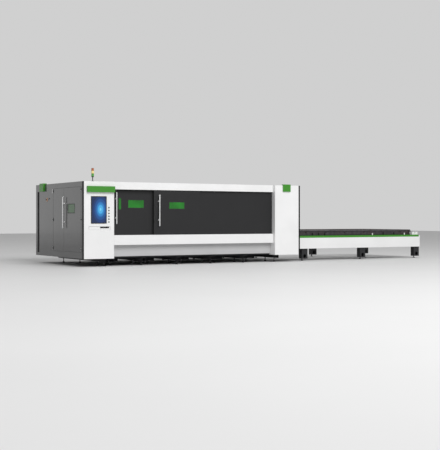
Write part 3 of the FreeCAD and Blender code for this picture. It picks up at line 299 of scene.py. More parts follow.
def joined(forms):
    # each form's corner numbers are raised by the number of corners before it
    starts = np.cumsum([0] + [len(one["vertices"]) for one in forms[:-1]])
    return form(
        np.concatenate([one["vertices"] for one in forms]),
        np.concatenate([one["loops"] + start for one, start in zip(forms, starts)]),
        np.concatenate([one["sizes"] for one in forms]),
    )


def repeated(one, places):
    # the same form at each place
    places = np.array(places, float)
    step = len(one["vertices"])
    vertices = (places[:, None] + one["vertices"][None]).reshape(-1, 3)
    loops = (step * np.arange(len(places))[:, None] + one["loops"][None]).reshape(-1)
    return form(vertices, loops, np.tile(one["sizes"], len(places)))


def placed(one, facing, place=(0, 0, 0)):
    # corners times the facing's rows, moved to the place
    return form(one["vertices"] @ facings[facing] + np.array(place, float), one["loops"], one["sizes"])


def flipped(one, total):
    # mirror image: each corner's Y is taken from the total of both sides, each face turned over
    vertices = one["vertices"].copy()
    vertices[:, 1] = total - vertices[:, 1]
    ends = np.cumsum(one["sizes"])
    starts = ends - one["sizes"]
    owner = np.repeat(np.arange(len(ends)), one["sizes"])
    turned = starts[owner] + ends[owner] - 1 - np.arange(len(one["loops"]))
    return form(vertices, one["loops"][turned], one["sizes"])


def carried(path, outwards, profile, ring=False):
    # A profile carried round a closed path. The point of row r and column c is the path's
    # point c, moved outwards by the profile's first value r and lifted by its second.
    # The ends are closed by flat faces, or the profile is a closed ring itself.
    profile = np.array(profile, float)
    rows, columns = len(profile), len(path)
    grid = np.zeros((rows, columns, 3))
    grid[..., :2] = path[None] + profile[:, 0, None, None] * outwards[None]
    grid[..., 2] = profile[:, 1, None]
    lower = np.arange(rows * columns).reshape(rows, columns)
    upper = np.roll(lower, -1, axis=0)
    count = rows if ring else rows - 1
    corners = (lower, np.roll(lower, -1, axis=1), np.roll(upper, -1, axis=1), upper)
    loops = np.stack([corner[:count] for corner in corners], axis=-1).reshape(-1)
    sizes = np.full(count * columns, 4)
    if not ring:
        loops = np.concatenate([loops, lower[0][::-1], lower[-1]])
        sizes = np.concatenate([sizes, [columns, columns]])
    return form(grid.reshape(-1, 3), loops, sizes)


def circle(steps, flutes=0, depth=0.0):
    # arrows (cosine, sine) of the angle, each times one plus the depth times the flutes' cosine
    angle = np.linspace(0, 2 * np.pi, steps, endpoint=False)
    length = 1 + depth * np.cos(flutes * angle)
    return np.stack([np.cos(angle) * length, np.sin(angle) * length], axis=1)


def turnedForm(profile, steps, flutes=0, depth=0.0):
    # a profile of (radius, height) turned round an axis
    return carried(np.zeros((steps, 2)), circle(steps, flutes, depth), profile)


def turnedPart(plan, part, facing="up", place=(0, 0, 0)):
    # a part's profile turned in the plan's number of steps, facing a way at a place
    return placed(turnedForm(plan[part], plan[part + "Steps"]), facing, place)


def roundedPath(width, height, corner, steps=4):
    # points and outward arrows round a rectangle: a quarter circle about each corner's centre
    turn = np.linspace(0, np.pi / 2, steps)
    angle = (turn[None] + np.pi / 2 * np.arange(4)[:, None]).reshape(-1)
    outwards = np.stack([np.cos(angle), np.sin(angle)], axis=1)
    signs = np.repeat(np.array([(1, 1), (-1, 1), (-1, -1), (1, -1)]), steps, axis=0)
    centres = signs * (np.array([width, height]) / 2 - corner)
    return centres + corner * outwards, outwards


def softEdges(depth, edge):
    # profile up a side whose lower and upper edges are rounded
    near = edge * (1 - math.sqrt(0.5))
    return [
        (-edge, 0), (-near, near), (0, edge),
        (0, depth - edge), (-near, depth - near), (-edge, depth),
    ]


def softBlock(low, high, rounding, facing="up"):
    # block between two corners, with radii in plan and along its lower and upper edges
    low, high = np.array(low, float), np.array(high, float)
    corner, edge = rounding
    turn = facings[facing]
    width, height, depth = np.abs(turn) @ (high - low)
    path, outwards = roundedPath(width, height, corner)
    middle = (low + high) / 2 - turn[2] * depth / 2
    return placed(carried(path, outwards, softEdges(depth, edge)), facing, middle)


def frameRing(width, height, corner, profile):
    # closed profile carried round a rounded rectangle
    path, outwards = roundedPath(width, height, corner)
    return carried(path, outwards, profile, ring=True)


def extruded(outline, depth):
    # flat outline, listed anticlockwise, drawn out along the depth
    outline = np.array(outline, float)
    count = len(outline)
    vertices = np.zeros((2, count, 3))
    vertices[..., :2] = outline
    vertices[1, :, 2] = depth
    first = np.arange(count)
    after = np.roll(first, -1)
    sides = np.stack([first, after, after + count, first + count], axis=-1).reshape(-1)
    loops = np.concatenate([sides, first[::-1], first + count])
    sizes = np.concatenate([np.full(count, 4), [count, count]])
    return form(vertices.reshape(-1, 3), loops, sizes)


def perforated(across, upwards, holes, depth):
    # Sheet on a grid of edges, with the cells of holes left out and walled round. A wall
    # stands wherever a cell of the sheet has none next to it.
    across, upwards = np.array(across, float), np.array(upwards, float)
    filled = np.ones((len(upwards) + 1, len(across) + 1), bool)
    filled[[0, -1]] = False
    filled[:, [0, -1]] = False
    for row, column in holes:
        filled[row + 1, column + 1] = False
    columns = len(across)
    layer = columns * len(upwards)
    x, y = np.meshgrid(across, upwards)
    flat = np.stack([x.ravel(), y.ravel()], axis=1)
    vertices = np.concatenate([np.insert(flat, 2, 0, axis=1), np.insert(flat, 2, depth, axis=1)])
    row, column = np.nonzero(filled[1:-1, 1:-1])
    first = row * columns + column
    corners = np.stack([first, first + 1, first + columns + 1, first + columns], axis=1)
    faces = [corners + layer, corners[:, ::-1]]
    beside = (filled[:-2, 1:-1], filled[1:-1, 2:], filled[2:, 1:-1], filled[1:-1, :-2])
    for side, neighbour in enumerate(beside):
        bare = ~neighbour[row, column]
        start, end = corners[bare, side], corners[bare, (side + 1) % 4]
        faces.append(np.stack([start, end, end + layer, start + layer], axis=1))
    quads = np.concatenate(faces)
    used, loops = np.unique(quads, return_inverse=True)
    return form(vertices[used], loops.ravel(), np.full(len(quads), 4))


def addObject(name, data):
    thing = bpy.data.objects.new(name, data)
    bpy.context.scene.collection.objects.link(thing)
    return thing


crease = 32  # degrees past which an edge is shaded sharp


def addPiece(name, body, one, slot, replaces=(), finish=None):
    # a form as a smooth mesh with sharp creases, which rides on a body
    mesh = bpy.data.meshes.new(name)
    mesh.vertices.add(len(one["vertices"]))
    mesh.vertices.foreach_set("co", one["vertices"].astype(np.float32).ravel())
    mesh.loops.add(len(one["loops"]))
    mesh.loops.foreach_set("vertex_index", one["loops"].astype(np.int32))
    mesh.polygons.add(len(one["sizes"]))
    starts = np.concatenate([[0], np.cumsum(one["sizes"])[:-1]]).astype(np.int32)
    mesh.polygons.foreach_set("loop_start", starts)
    mesh.polygons.foreach_set("use_smooth", np.ones(len(one["sizes"]), bool))
    mesh.update(calc_edges=True)
    mesh.set_sharp_from_angle(angle=math.radians(crease))
    mesh.materials.append(materials[finish or slot])
    piece = addObject(name, mesh)
    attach(piece, body)
    if replaces:
        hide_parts(*replaces)


def boxOf(node):
    low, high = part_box(node)
    return np.array(low, float), np.array(high, float)


def middleOf(node):
    low, high = boxOf(node)
    return (low + high) / 2


def cornersOf(mesh):
    points = np.empty(3 * len(mesh.vertices))
    mesh.vertices.foreach_get("co", points)
    return points.reshape(-1, 3)


def loopsOf(mesh):
    loops = np.empty(len(mesh.loops), np.int32)
    mesh.loops.foreach_get("vertex_index", loops)
    return loops


face = boxOf("console_housing")[0][1]  # front of the console
roofTop = boxOf("console_housing")[1][2]
sideFace = boxOf("corner_trim")[0][0]  # outer face of the left side

# round rings and caps of the switches, over the flat-sided ones of the frame
switchRow = {
    "count": 6,
    "pale": 1,  # the lowest one
    "ring": [
        (0.0104, 0.0), (0.0215, 0.0), (0.0215, 0.0028),
        (0.0202, 0.0042), (0.0112, 0.0042), (0.0104, 0.0034),
    ],
    "cap": [(0.0098, -0.006), (0.0098, 0.0072), (0.0090, 0.0086), (0.0065, 0.0090), (0.0020, 0.0090)],
    "rod": 0.005,  # half the square rod behind each cap
    "capSteps": 24,
    "rodEnd": 0.036,
}


def makeSwitches():
    steps, half = switchRow["capSteps"], switchRow["rod"]
    ring = placed(carried(np.zeros((steps, 2)), circle(steps), switchRow["ring"], ring=True), "front")
    rod = extruded([(-half, -half), (half, -half), (half, half), (-half, half)], switchRow["rodEnd"])
    cap = joined([turnedPart(switchRow, "cap", "front"), placed(rod, "rear")])
    places = []
    for number in range(1, switchRow["count"] + 1):
        node = "button_" + str(number)
        middle = middleOf(node)
        places.append((middle[0], face, middle[2]))
        finish = "button_pale" if number == switchRow["pale"] else "button_dark"
        one = repeated(cap, places[-1:])
        addPiece("button_cap_" + str(number), node + "_body", one, "black_plastic", [node], finish)
    addPiece("switch_rings", "cabin", repeated(ring, places), "black_plastic", finish="button_dark")


makeSwitches()
print("switches")

# rubber round the display's glass, and the black body behind it
displayPlan = {
    "gasket": [(0, 0), (0.004, 0), (0.004, 0.0016), (0.002, 0.0024), (0, 0.0016)],
    "lap": 0.004,  # of the rubber on each side of the glass
    "corner": 0.006,
    "bodyDeep": 0.045,
    "bodyInset": 0.001,
    "bodyRound": (0.006, 0.003),
}


def makeDisplay():
    plan = displayPlan
    low, high = boxOf("display_glass")
    width, _, height = high - low - 2 * plan["lap"]
    ring = frameRing(width, height, plan["corner"], plan["gasket"])
    x, _, z = (low + high) / 2
    addPiece("display_gasket", "cabin", placed(ring, "front", (x, low[1], z)), "seal_rubber")
    inset, back = plan["bodyInset"], high[1]
    body = softBlock(
        (low[0] + inset, back, low[2] + inset),
        (high[0] - inset, back + plan["bodyDeep"], high[2] - inset), plan["bodyRound"], "front",
    )
    addPiece("display_body", "cabin", body, "black_plastic")


# fine grey strip round the drawer, a painted shade line for the gap round its front, and the keyboard that
# lies in it
drawerPlan = {
    "low": 1.009,
    "high": 1.095,
    "gap": 0.004,  # between the drawer's box and the joint
    # profile of the strip that paints the shade in the joint round the drawer
    "joint": [(0.0005, 0), (0.003, 0), (0.003, 0.0005), (0.0005, 0.0005)],
    "jointCorner": 0.001,
    "boardSize": (0.44, 0.145, 0.016),
    "boardBack": 0.06,  # from the drawer's front to the keyboard
    "boardUp": 0.003,
    "boardRound": (0.008, 0.003),
    "columns": 15,
    "rows": 5,
    "pitch": (0.0272, 0.026112),
    "firstKey": (0.018, 0.008),  # from the keyboard's corner
    "keySize": (0.024, 0.022, 0.007),
    "keyRound": (0.003, 0.0015),
    "keySunk": 0.001,
}


def makeDrawer():
    plan = drawerPlan
    low, high = boxOf("keyboard_drawer")
    z0, z1 = plan["low"], plan["high"]
    width = high[0] - low[0] + 2 * plan["gap"]
    ring = frameRing(width, z1 - z0, plan["jointCorner"], plan["joint"])
    middle = ((low[0] + high[0]) / 2, face, (z0 + z1) / 2)
    # grey strip proud of the console round the drawer: painted shade line of the gap
    addPiece("drawer_shade_line", "cabin", placed(ring, "front", middle), "seal_rubber", finish="drawer_shade_grey")
    size = np.array(plan["boardSize"])
    start = np.array([
        (low[0] + high[0] - size[0]) / 2, face + plan["boardBack"], low[2] + plan["boardUp"],
    ])
    board = softBlock(start, start + size, plan["boardRound"])
    addPiece("keyboard", "drawer", board, "black_plastic")
    key = softBlock((0, 0, 0), plan["keySize"], plan["keyRound"])
    columns, rows = np.meshgrid(np.arange(plan["columns"]), np.arange(plan["rows"]))
    steps = np.stack([columns.ravel(), rows.ravel(), np.zeros(columns.size)], axis=1)
    first = start + (*plan["firstKey"], size[2] - plan["keySunk"])
    places = first + steps * (*plan["pitch"], 0)
    addPiece("keyboard_keys", "drawer", repeated(key, places), "black_plastic", finish="button_dark")


makeDisplay()
makeDrawer()
print("console")

# signal tower: turned stand and three fluted lenses
tower = {
    "plateHigh": 0.006,
    "plateRound": (0.006, 0.0015),
    "pole": [
        (0.022, 0.0), (0.021, 0.004), (0.0135, 0.010), (0.012, 0.014), (0.012, 0.098), (0.014, 0.102),
        (0.032, 0.108), (0.035, 0.112), (0.035, 0.124),
    ],
    "lens": [(0.0335, 0.0), (0.0345, 0.002), (0.0345, 0.070), (0.0335, 0.072)],
    "washer": [(0.0335, 0.0), (0.035, 0.001), (0.035, 0.003), (0.0335, 0.004)],
    "cap": [(0.035, 0.0), (0.035, 0.004), (0.031, 0.008), (0.020, 0.010), (0.004, 0.0105)],
    "screw": [(0.005, 0.0), (0.005, 0.002), (0.0035, 0.003)],
    "screwIn": 0.023,  # from the plate's middle, along both sides
    "lamps": {"green": "lamp_green_plastic", "yellow": "yellow_plastic", "red": "lamp_red_plastic"},
    "redHigh": 0.9,  # share of the lens's height that the top one has, under the cap
    "flutes": 30,
    "fluteDeep": 0.014,  # share of the lens's radius
    "lensSteps": 120,
    "poleSteps": 28,
    "washerSteps": 28,
    "capSteps": 28,
    "screwSteps": 12,
}


def makeTower():
    low, high = boxOf("tower_base")
    x, y = (low + high)[:2] / 2
    inset = tower["screwIn"]
    plateTop = low[2] + tower["plateHigh"]
    plate = softBlock(low, (high[0], high[1], plateTop), tower["plateRound"])
    pole = turnedPart(tower, "pole", "up", (x, y, plateTop))
    places = [(x + side * inset, y + end * inset, plateTop) for side in (-1, 1) for end in (-1, 1)]
    screws = repeated(turnedPart(tower, "screw"), places)
    addPiece("tower_stand", "cabin", joined([plate, pole, screws]), "black_plastic", ["tower_base"])
    washers = []
    for colour, slot in tower["lamps"].items():
        node = "tower_lamp_" + colour
        low, high = boxOf(node)
        lens = turnedForm(tower["lens"], tower["lensSteps"], tower["flutes"], tower["fluteDeep"])
        if colour == "red":
            lens["vertices"][:, 2] *= tower["redHigh"]
        bottom = low[2] + tower["washer"][-1][1]
        addPiece("lens_" + colour, "cabin", placed(lens, "up", (x, y, bottom)), slot, [node])
        washers.append((x, y, low[2]))
    rings = repeated(turnedPart(tower, "washer"), washers)
    cap = turnedPart(tower, "cap", "up", (x, y, high[2] - tower["cap"][-1][1]))
    addPiece("tower_rings", "cabin", joined([rings, cap]), "black_plastic")


makeTower()
print("signal tower")

# round bar handles on flanged posts
handle = {
    "radius": 0.016,
    "dome": [(0.30, 0.0), (0.72, 0.12), (0.94, 0.42), (1.0, 0.75)],  # the bar's end, in radii
    "standoff": 0.060,
    "postInset": 0.176,  # from the bar's end
    "flange": [
        (0.020, 0.0), (0.020, 0.0035), (0.0185, 0.005), (0.0105, 0.006), (0.010, 0.008), (0.010, 0.052),
    ],
    "steps": 28,
    "flangeSteps": 20,
}


def makeHandle(node, body, facing):
    low, high = boxOf(node)
    radius, inset = handle["radius"], handle["postInset"]
    length = high[2] - low[2]
    end = [(radius * r, radius * z) for r, z in handle["dome"]]
    tube = turnedForm(end + [(r, length - z) for r, z in reversed(end)], handle["steps"])
    out = facings[facing][2]
    axis = (low + high) / 2 + out * (np.abs(out) @ (high - low) / 2 - radius)
    foot = axis - out * handle["standoff"]
    places = [(foot[0], foot[1], z) for z in (low[2] + inset, high[2] - inset)]
    posts = repeated(turnedPart(handle, "flange", facing), places)
    bar = joined([placed(tube, "up", (axis[0], axis[1], low[2])), posts])
    addPiece(node + "_bar", body, bar, "bright_steel", [node], "handle_steel")


makeHandle("left_door_handle", "left_door", "front")
makeHandle("right_door_handle", "right_door", "front")
makeHandle("side_door_handle", "side_leaf_front", "left")

# rubber profile that holds each pane, lapping the sheet round it
windowSeal = {
    "profile": [
        (-0.004, -0.004), (0.011, 0.0), (0.011, 0.0020), (0.006, 0.0042), (0.0, 0.0030), (-0.004, 0.0),
    ],
    "corner": 0.010,
}


def paneBoxes(node):
    # a node of one pane, or of two side by side, split in the gap between them
    points = cornersOf(frame["nodes"][node].data)
    along = 0 if np.ptp(points[:, 0]) > np.ptp(points[:, 1]) else 1
    steps = np.unique(np.round(points[:, along], 4))
    if len(steps) == 2:
        return [(points.min(axis=0), points.max(axis=0))]
    split = (steps[1] + steps[2]) / 2
    halves = [points[points[:, along] < split], points[points[:, along] > split]]
    return [(half.min(axis=0), half.max(axis=0)) for half in halves]


def makeSeals(name, node, body, facing, leafFace):
    rings = []
    for low, high in paneBoxes(node):
        width, height = (np.abs(facings[facing]) @ (high - low))[:2]
        middle = np.where(np.abs(facings[facing][2]) > 0.5, leafFace, (low + high) / 2)
        ring = frameRing(width, height, windowSeal["corner"], windowSeal["profile"])
        rings.append(placed(ring, facing, middle))
    addPiece(name, body, joined(rings), "seal_rubber")


leftFace, rightFace = boxOf("left_sliding_door")[0][1], boxOf("right_sliding_door")[0][1]
makeSeals("left_window_seals", "left_door_windows", "left_door", "front", leftFace)
makeSeals("right_window_seal", "right_door_window", "right_door", "front", rightFace)
makeSeals("side_window_seal", "side_door_window", "side_leaf_front", "left", sideFace)
print("doors")

# left side: joints round the leaves, main switch, lock and the cap over the rear leaf's top hinge
sidePlan = {
    "jointHalf": 0.004,
    "jointProud": 0.0006,
    "jointRound": (0.002, 0.0002),
    "plate": [
        (0.056, 0.0), (0.060, 0.002), (0.060, 0.005), (0.0575, 0.0075), (0.046, 0.008), (0.044, 0.0065),
        (0.030, 0.0065), (0.029, 0.008), (0.004, 0.008),
    ],
    "plateSteps": 40,
    "knob": [
        (0.0265, 0.0), (0.027, 0.002), (0.0262, 0.013), (0.024, 0.0155), (0.018, 0.016), (0.003, 0.016),
    ],
    "knobSteps": 32,
    "gripOut": 0.0155,  # from the plate to the grip
    "gripSize": (0.0155, 0.013, 0.050),
    "gripRound": (0.004, 0.003),
    "lock": [
        (0.022, 0.0), (0.022, 0.004), (0.0205, 0.006), (0.014, 0.006),
        (0.014, 0.009), (0.0125, 0.0105), (0.003, 0.0105),
    ],
    "lockSteps": 20,
    "lockFrom": (-0.20, 0.025),  # along and up from the switch
    "capSize": (0.018, 0.045, 0.105),
    "capPast": (0.018, 0.006),  # back and up from the hinges
    "capRound": (0.008, 0.004),
}


def makeLeafJoints():
    # rubber over the joints round and between the two leaves, a little proud
    front, rear = boxOf("side_door_front"), boxOf("side_door_rear")
    half = sidePlan["jointHalf"]
    y0, y1 = front[0][1], rear[1][1]
    z0, z1 = front[0][2], front[1][2]
    meeting = (front[1][1] + rear[0][1]) / 2

    def strip(yLow, yHigh, zLow, zHigh):
        low, high = (sideFace - sidePlan["jointProud"], yLow, zLow), (sideFace, yHigh, zHigh)
        return softBlock(low, high, sidePlan["jointRound"], "left")

    around = [strip(y0 - half, y1 + half, z - half, z + half) for z in (z0, z1)]
    around += [strip(y - half, y + half, z0 - half, z1 + half) for y in (y0, y1)]
    between = strip(meeting - 2 * half, meeting, z0 + half, z1 - half)
    addPiece("leaf_joints", "cabin", joined(around), "seal_rubber", finish="joint_dark")
    addPiece("leaf_meeting_strip", "side_leaf_front", between, "seal_rubber", finish="joint_dark")


def makeSideDetails():
    plan = sidePlan
    low, high = boxOf("main_switch_plate")
    y, z = (low + high)[1:] / 2
    plate = turnedPart(plan, "plate", "left", (sideFace, y, z))
    addPiece("switch_plate", "cabin", plate, "orange_plastic", ["main_switch_plate"])
    knob = turnedPart(plan, "knob", "left", (low[0], y, z))
    addPiece("switch_knob_disc", "switch_knob", knob, "black_plastic", ["main_switch_knob"], "knob_pale")
    deep, wide, tall = plan["gripSize"]
    x = low[0] - plan["gripOut"]
    start, end = (x - deep, y - wide / 2, z - tall / 2), (x, y + wide / 2, z + tall / 2)
    grip = softBlock(start, end, plan["gripRound"], "left")
    addPiece("switch_knob_grip", "switch_knob", grip, "black_plastic")
    along, up = plan["lockFrom"]
    lock = turnedPart(plan, "lock", "left", (sideFace, y + along, z + up))
    addPiece("panel_lock", "cabin", lock, "black_plastic")
    end = np.array([sideFace, *(boxOf("side_door_hinges")[1][1:] + plan["capPast"])])
    cap = softBlock(end - plan["capSize"], end, plan["capRound"], "left")
    addPiece("hinge_cap", "cabin", cap, "white_paint")


makeLeafJoints()
makeSideDetails()
print("side")

# rear wall's sheet panels, blades in their slots, each leaning inwards, and rubber over the roof's joints
rearPlan = {
    "panels": 5,
    "foldRadius": 0.004,
    "foldSteps": 2,
    "near": 0.00002,  # within which corners are the same
    "flat": 0.01,  # radians within which faces are joined
    "inside": 0.001,  # how far under a face its panel is looked up
    "slotted": (1, 3),  # panels with slots, counted from 0
    "slots": 6,
    "slotPitch": 0.034,
    "slotRise": 0.306,  # from the panels' lower edge to the first slot's middle
    "blade": [(-0.0055, 0.0), (-0.0035, 0.0), (0.0055, 0.030), (0.0035, 0.030)],  # height, depth
    "bladeLength": 0.416,
    "bladeIn": 0.001,
    "stripHalf": 0.009,
    "stripHigh": 0.003,
    "stripInset": 0.02,
    "stripRound": (0.004, 0.0012),
}


def panelsOf(node, edges):
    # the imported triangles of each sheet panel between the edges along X
    mesh = frame["nodes"][node].data
    triangles = cornersOf(mesh)[loopsOf(mesh)].reshape(-1, 3, 3)
    outwards = np.cross(triangles[:, 1] - triangles[:, 0], triangles[:, 2] - triangles[:, 0])
    outwards /= np.linalg.norm(outwards, axis=1)[:, None]
    inside = triangles.mean(axis=1) - rearPlan["inside"] * outwards
    numbers = np.searchsorted(edges, inside[:, 0])
    return [triangles[numbers == number] for number in np.unique(numbers)]


def foldedForm(triangles):
    # one sheet panel with its corners merged, its flat faces joined and the four edges
    # of its rear face rounded, so that the joints between panels show
    low, high = triangles.min(axis=(0, 1)), triangles.max(axis=(0, 1))
    near = rearPlan["near"]
    mesh = bpy.data.meshes.new("sheet")
    numbers = np.arange(3 * len(triangles)).reshape(-1, 3)
    mesh.from_pydata(triangles.reshape(-1, 3).tolist(), [], numbers.tolist())
    sheet = bmesh.new()
    sheet.from_mesh(mesh)
    bmesh.ops.remove_doubles(sheet, verts=sheet.verts, dist=near)
    bmesh.ops.dissolve_limit(sheet, angle_limit=rearPlan["flat"], verts=sheet.verts, edges=sheet.edges)

    def onOutline(edge):
        ends = np.array([corner.co for corner in edge.verts])
        atLow, atHigh = [np.all(abs(ends - side) < near, axis=0) for side in (low, high)]
        return atHigh[1] and (atLow[0] or atHigh[0] or atLow[2] or atHigh[2])

    bmesh.ops.bevel(
        sheet, geom=[edge for edge in sheet.edges if onOutline(edge)], affect="EDGES", clamp_overlap=True,
        offset=rearPlan["foldRadius"], offset_type="OFFSET", segments=rearPlan["foldSteps"], profile=0.5,
    )
    sheet.to_mesh(mesh)
    sheet.free()
    sizes = np.empty(len(mesh.polygons), np.int32)
    mesh.polygons.foreach_get("loop_total", sizes)
    one = form(cornersOf(mesh), loopsOf(mesh), sizes)
    bpy.data.meshes.remove(mesh)
    return one


def panelEdges():
    # where the rear wall's panels end along X, between the corner posts
    low, high = boxOf("side_panels")
    post = high[0] - low[0]
    return np.linspace(sideFace + post, boxOf("rear_wall")[1][0] - post, rearPlan["panels"] + 1)


def makeRearPanels():
    sheets = joined([foldedForm(panel) for panel in panelsOf("rear_wall", panelEdges())])
    addPiece("rear_panels", "cabin", sheets, "light_grey_paint", ["rear_wall"])


def makeLouvres():
    low, high = boxOf("rear_wall")
    edges, length = panelEdges(), rearPlan["bladeLength"]
    lefts = [(edges[column] + edges[column + 1] - length) / 2 for column in rearPlan["slotted"]]
    heights = low[2] + rearPlan["slotRise"] + rearPlan["slotPitch"] * np.arange(rearPlan["slots"])
    places = [(left, high[1], height) for left in lefts for height in heights]
    outline = [(-rearPlan["bladeIn"] - depth, height) for height, depth in rearPlan["blade"]]
    blade = placed(extruded(outline, length), "right")
    addPiece("louvre_blades", "cabin", repeated(blade, places), "light_grey_paint")


def makeRoofStrips():
    low, high = boxOf("roof_panels")
    half, inset = rearPlan["stripHalf"], rearPlan["stripInset"]
    strip = softBlock(
        (-half, low[1] + inset, roofTop),
        (half, high[1] - inset, roofTop + rearPlan["stripHigh"]), rearPlan["stripRound"],
    )
    step = (high[0] - low[0]) / rearPlan["panels"]
    places = [(low[0] + number * step, 0, 0) for number in range(1, rearPlan["panels"])]
    addPiece("roof_joint_strips", "cabin", repeated(strip, places), "seal_rubber")


makeLouvres()
makeRoofStrips()
makeRearPanels()
print("rear and roof")

# levelling feet: turned pads on rubber, studs and lock nuts
feet = {
    "cornersEach": 84,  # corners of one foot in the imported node
    "pad": [
        (0.039, 0.004), (0.040, 0.006), (0.040, 0.012), (0.036, 0.016),
        (0.020, 0.019), (0.018, 0.030), (0.013, 0.032),
    ],
    "sole": [(0.036, 0.0), (0.040, 0.001), (0.040, 0.005)],
    "padSteps": 20,
    "soleSteps": 20,
    "stud": 0.012,
    "studLow": 0.03,
    "studSteps": 12,
    "nut": 0.019,
    "nutHigh": 0.014,
    "nutSides": 6,
}


def makeFeet():
    groups = cornersOf(frame["nodes"]["levelling_feet"].data).reshape(-1, feet["cornersEach"], 3)
    low, high = groups.min(axis=1), groups.max(axis=1)
    middles = (low + high) / 2
    middles[:, 2] = 0
    tops = []
    for place, top in zip(middles, high[:, 2]):
        stud = turnedForm([(feet["stud"], feet["studLow"]), (feet["stud"], top)], feet["studSteps"])
        nut = turnedForm([(feet["nut"], top - feet["nutHigh"]), (feet["nut"], top)], feet["nutSides"])
        tops.append(repeated(joined([stud, nut]), [place]))
    pads, soles = [repeated(turnedPart(feet, part), middles) for part in ("pad", "sole")]
    addPiece("foot_pads", "cabin", pads, "frame_grey_paint", ["levelling_feet"])
    addPiece("foot_studs", "cabin", joined(tops), "bright_steel", finish="dull_steel")
    addPiece("foot_rubbers", "cabin", soles, "seal_rubber")


makeFeet()
print("feet")

# pallets: folded frame with finely toothed slats
palletPlan = {
    "end": 0.110,
    "slope": 0.080,
    "nose": 0.025,
    "side": 0.040,
    "wall": 0.006,
    "lip": 0.030,
    "holes": 6,
    "hole": (0.070, 0.030),
    "holeRise": 0.055,
    "slats": 58,
    "teeth": 34,
    "toothHigh": 0.024,
    "slatThick": 0.004,
    "slatLow": 0.060,
    "ribs": 4,
    "ribWide": 0.030,
    "ribRound": (0.004, 0.002),
}


def slatOutline(width, low, high):
    # saw edge: the height falls from each tip evenly to the root on both sides
    teeth = palletPlan["teeth"]
    steps = np.arange(2 * teeth + 1)
    across = steps / (2 * teeth) * width
    heights = np.where(steps % 2 == 1, high, high - palletPlan["toothHigh"])
    upper = np.stack([across[::-1], heights[::-1]], axis=1)
    return np.concatenate([[(0, low), (width, low)], upper])


def sideMember(span, height):
    # channel open outwards, with holes through its web, and its upper flange, which turns down
    plan = palletPlan
    side, wall, lip = plan["side"], plan["wall"], plan["lip"]
    upper = [
        (0, height - lip), (wall, height - lip), (wall, height - wall),
        (side - wall, height - wall), (side, height - wall), (side, height), (0, height),
    ]
    lower = [(0, 0), (side, 0), (side, wall), (0, wall)]
    wide, tall = plan["hole"]
    middles = (np.arange(plan["holes"]) + 0.5) * span / plan["holes"]
    edges = np.stack([middles - wide / 2, middles + wide / 2], axis=1).ravel()
    upwards = [wall, plan["holeRise"], plan["holeRise"] + tall, height - wall]
    cells = [(1, 2 * number + 1) for number in range(plan["holes"])]
    web = placed(perforated([0, *edges, span], upwards, cells, wall), "front", (0, side, 0))
    return placed(extruded(upper, span), "right"), joined([placed(extruded(lower, span), "right"), web])


def palletForm(low, high):
    # frame, slats and flanges between two corners
    plan = palletPlan
    length, width, height = high - low
    end, side, half = plan["end"], plan["side"], plan["ribWide"] / 2
    span = length - 2 * end

    def spaced(one, count):
        return repeated(one, [(end + (number + 0.5) * span / count, 0, 0) for number in range(count)])

    flange, channel = [repeated(one, [(end, 0, 0)]) for one in sideMember(span, height)]
    nose = [(0, 0), (end, 0), (end, height), (plan["slope"], height), (0, plan["nose"])]
    leftNose = extruded([(x - end, z) for x, z in nose], width)
    rightNose = extruded([(end - x, z) for x, z in reversed(nose)], width)
    rib = softBlock((-half, side, 0), (half, width - side, plan["slatLow"]), plan["ribRound"])
    members = joined([
        channel, flipped(channel, width),
        placed(leftNose, "front", (end, width, 0)), placed(rightNose, "front", (length - end, width, 0)),
        spaced(rib, plan["ribs"]),
    ])
    outline = slatOutline(width - 2 * side, plan["slatLow"], height)
    slat = placed(extruded(outline, plan["slatThick"]), "right", (-plan["slatThick"] / 2, side, 0))
    forms = (members, spaced(slat, plan["slats"]), joined([flange, flipped(flange, width)]))
    return [repeated(one, [low]) for one in forms]


def makePallet(node, body):
    members, slats, flanges = palletForm(*boxOf(node))
    addPiece(node + "_frame", body, members, "pallet_steel", [node])
    addPiece(node + "_slats", body, slats, "pallet_steel", [node], "slat_steel")
    # the upper flanges take the lighter steel, a painted highlight of their lit lip
    addPiece(node + "_flanges", body, flanges, "pallet_steel", [node], "flange_steel_painted_highlight")


makePallet("upper_pallet", "pallet_up")
makePallet("lower_pallet", "pallet_low")
print("pallets")

# exchange table: guides beside the upper pallet, with a nylon face and a bolt each
guidePlan = {
    "count": 14,
    "white": (3, 6),  # along one side, counted from 0 at the cabin
    "whiteDrop": 0.032,  # how much lower these are
    "thick": 0.010,
    "footRound": (0.004, 0.0015),
    "uprightRound": (0.003, 0.0015),
    "bolt": [(0.010, 0.0), (0.010, 0.006), (0.0085, 0.0075)],
    "boltIn": 0.028,
    "boltSteps": 6,
    "padThick": 0.006,
    "padLow": 0.095,
    "padIn": (0.005, 0.008),  # from the upright's sides and its top
    "padRound": (0.003, 0.001),
    "sunk": 0.001,  # how far parts run into each other
}


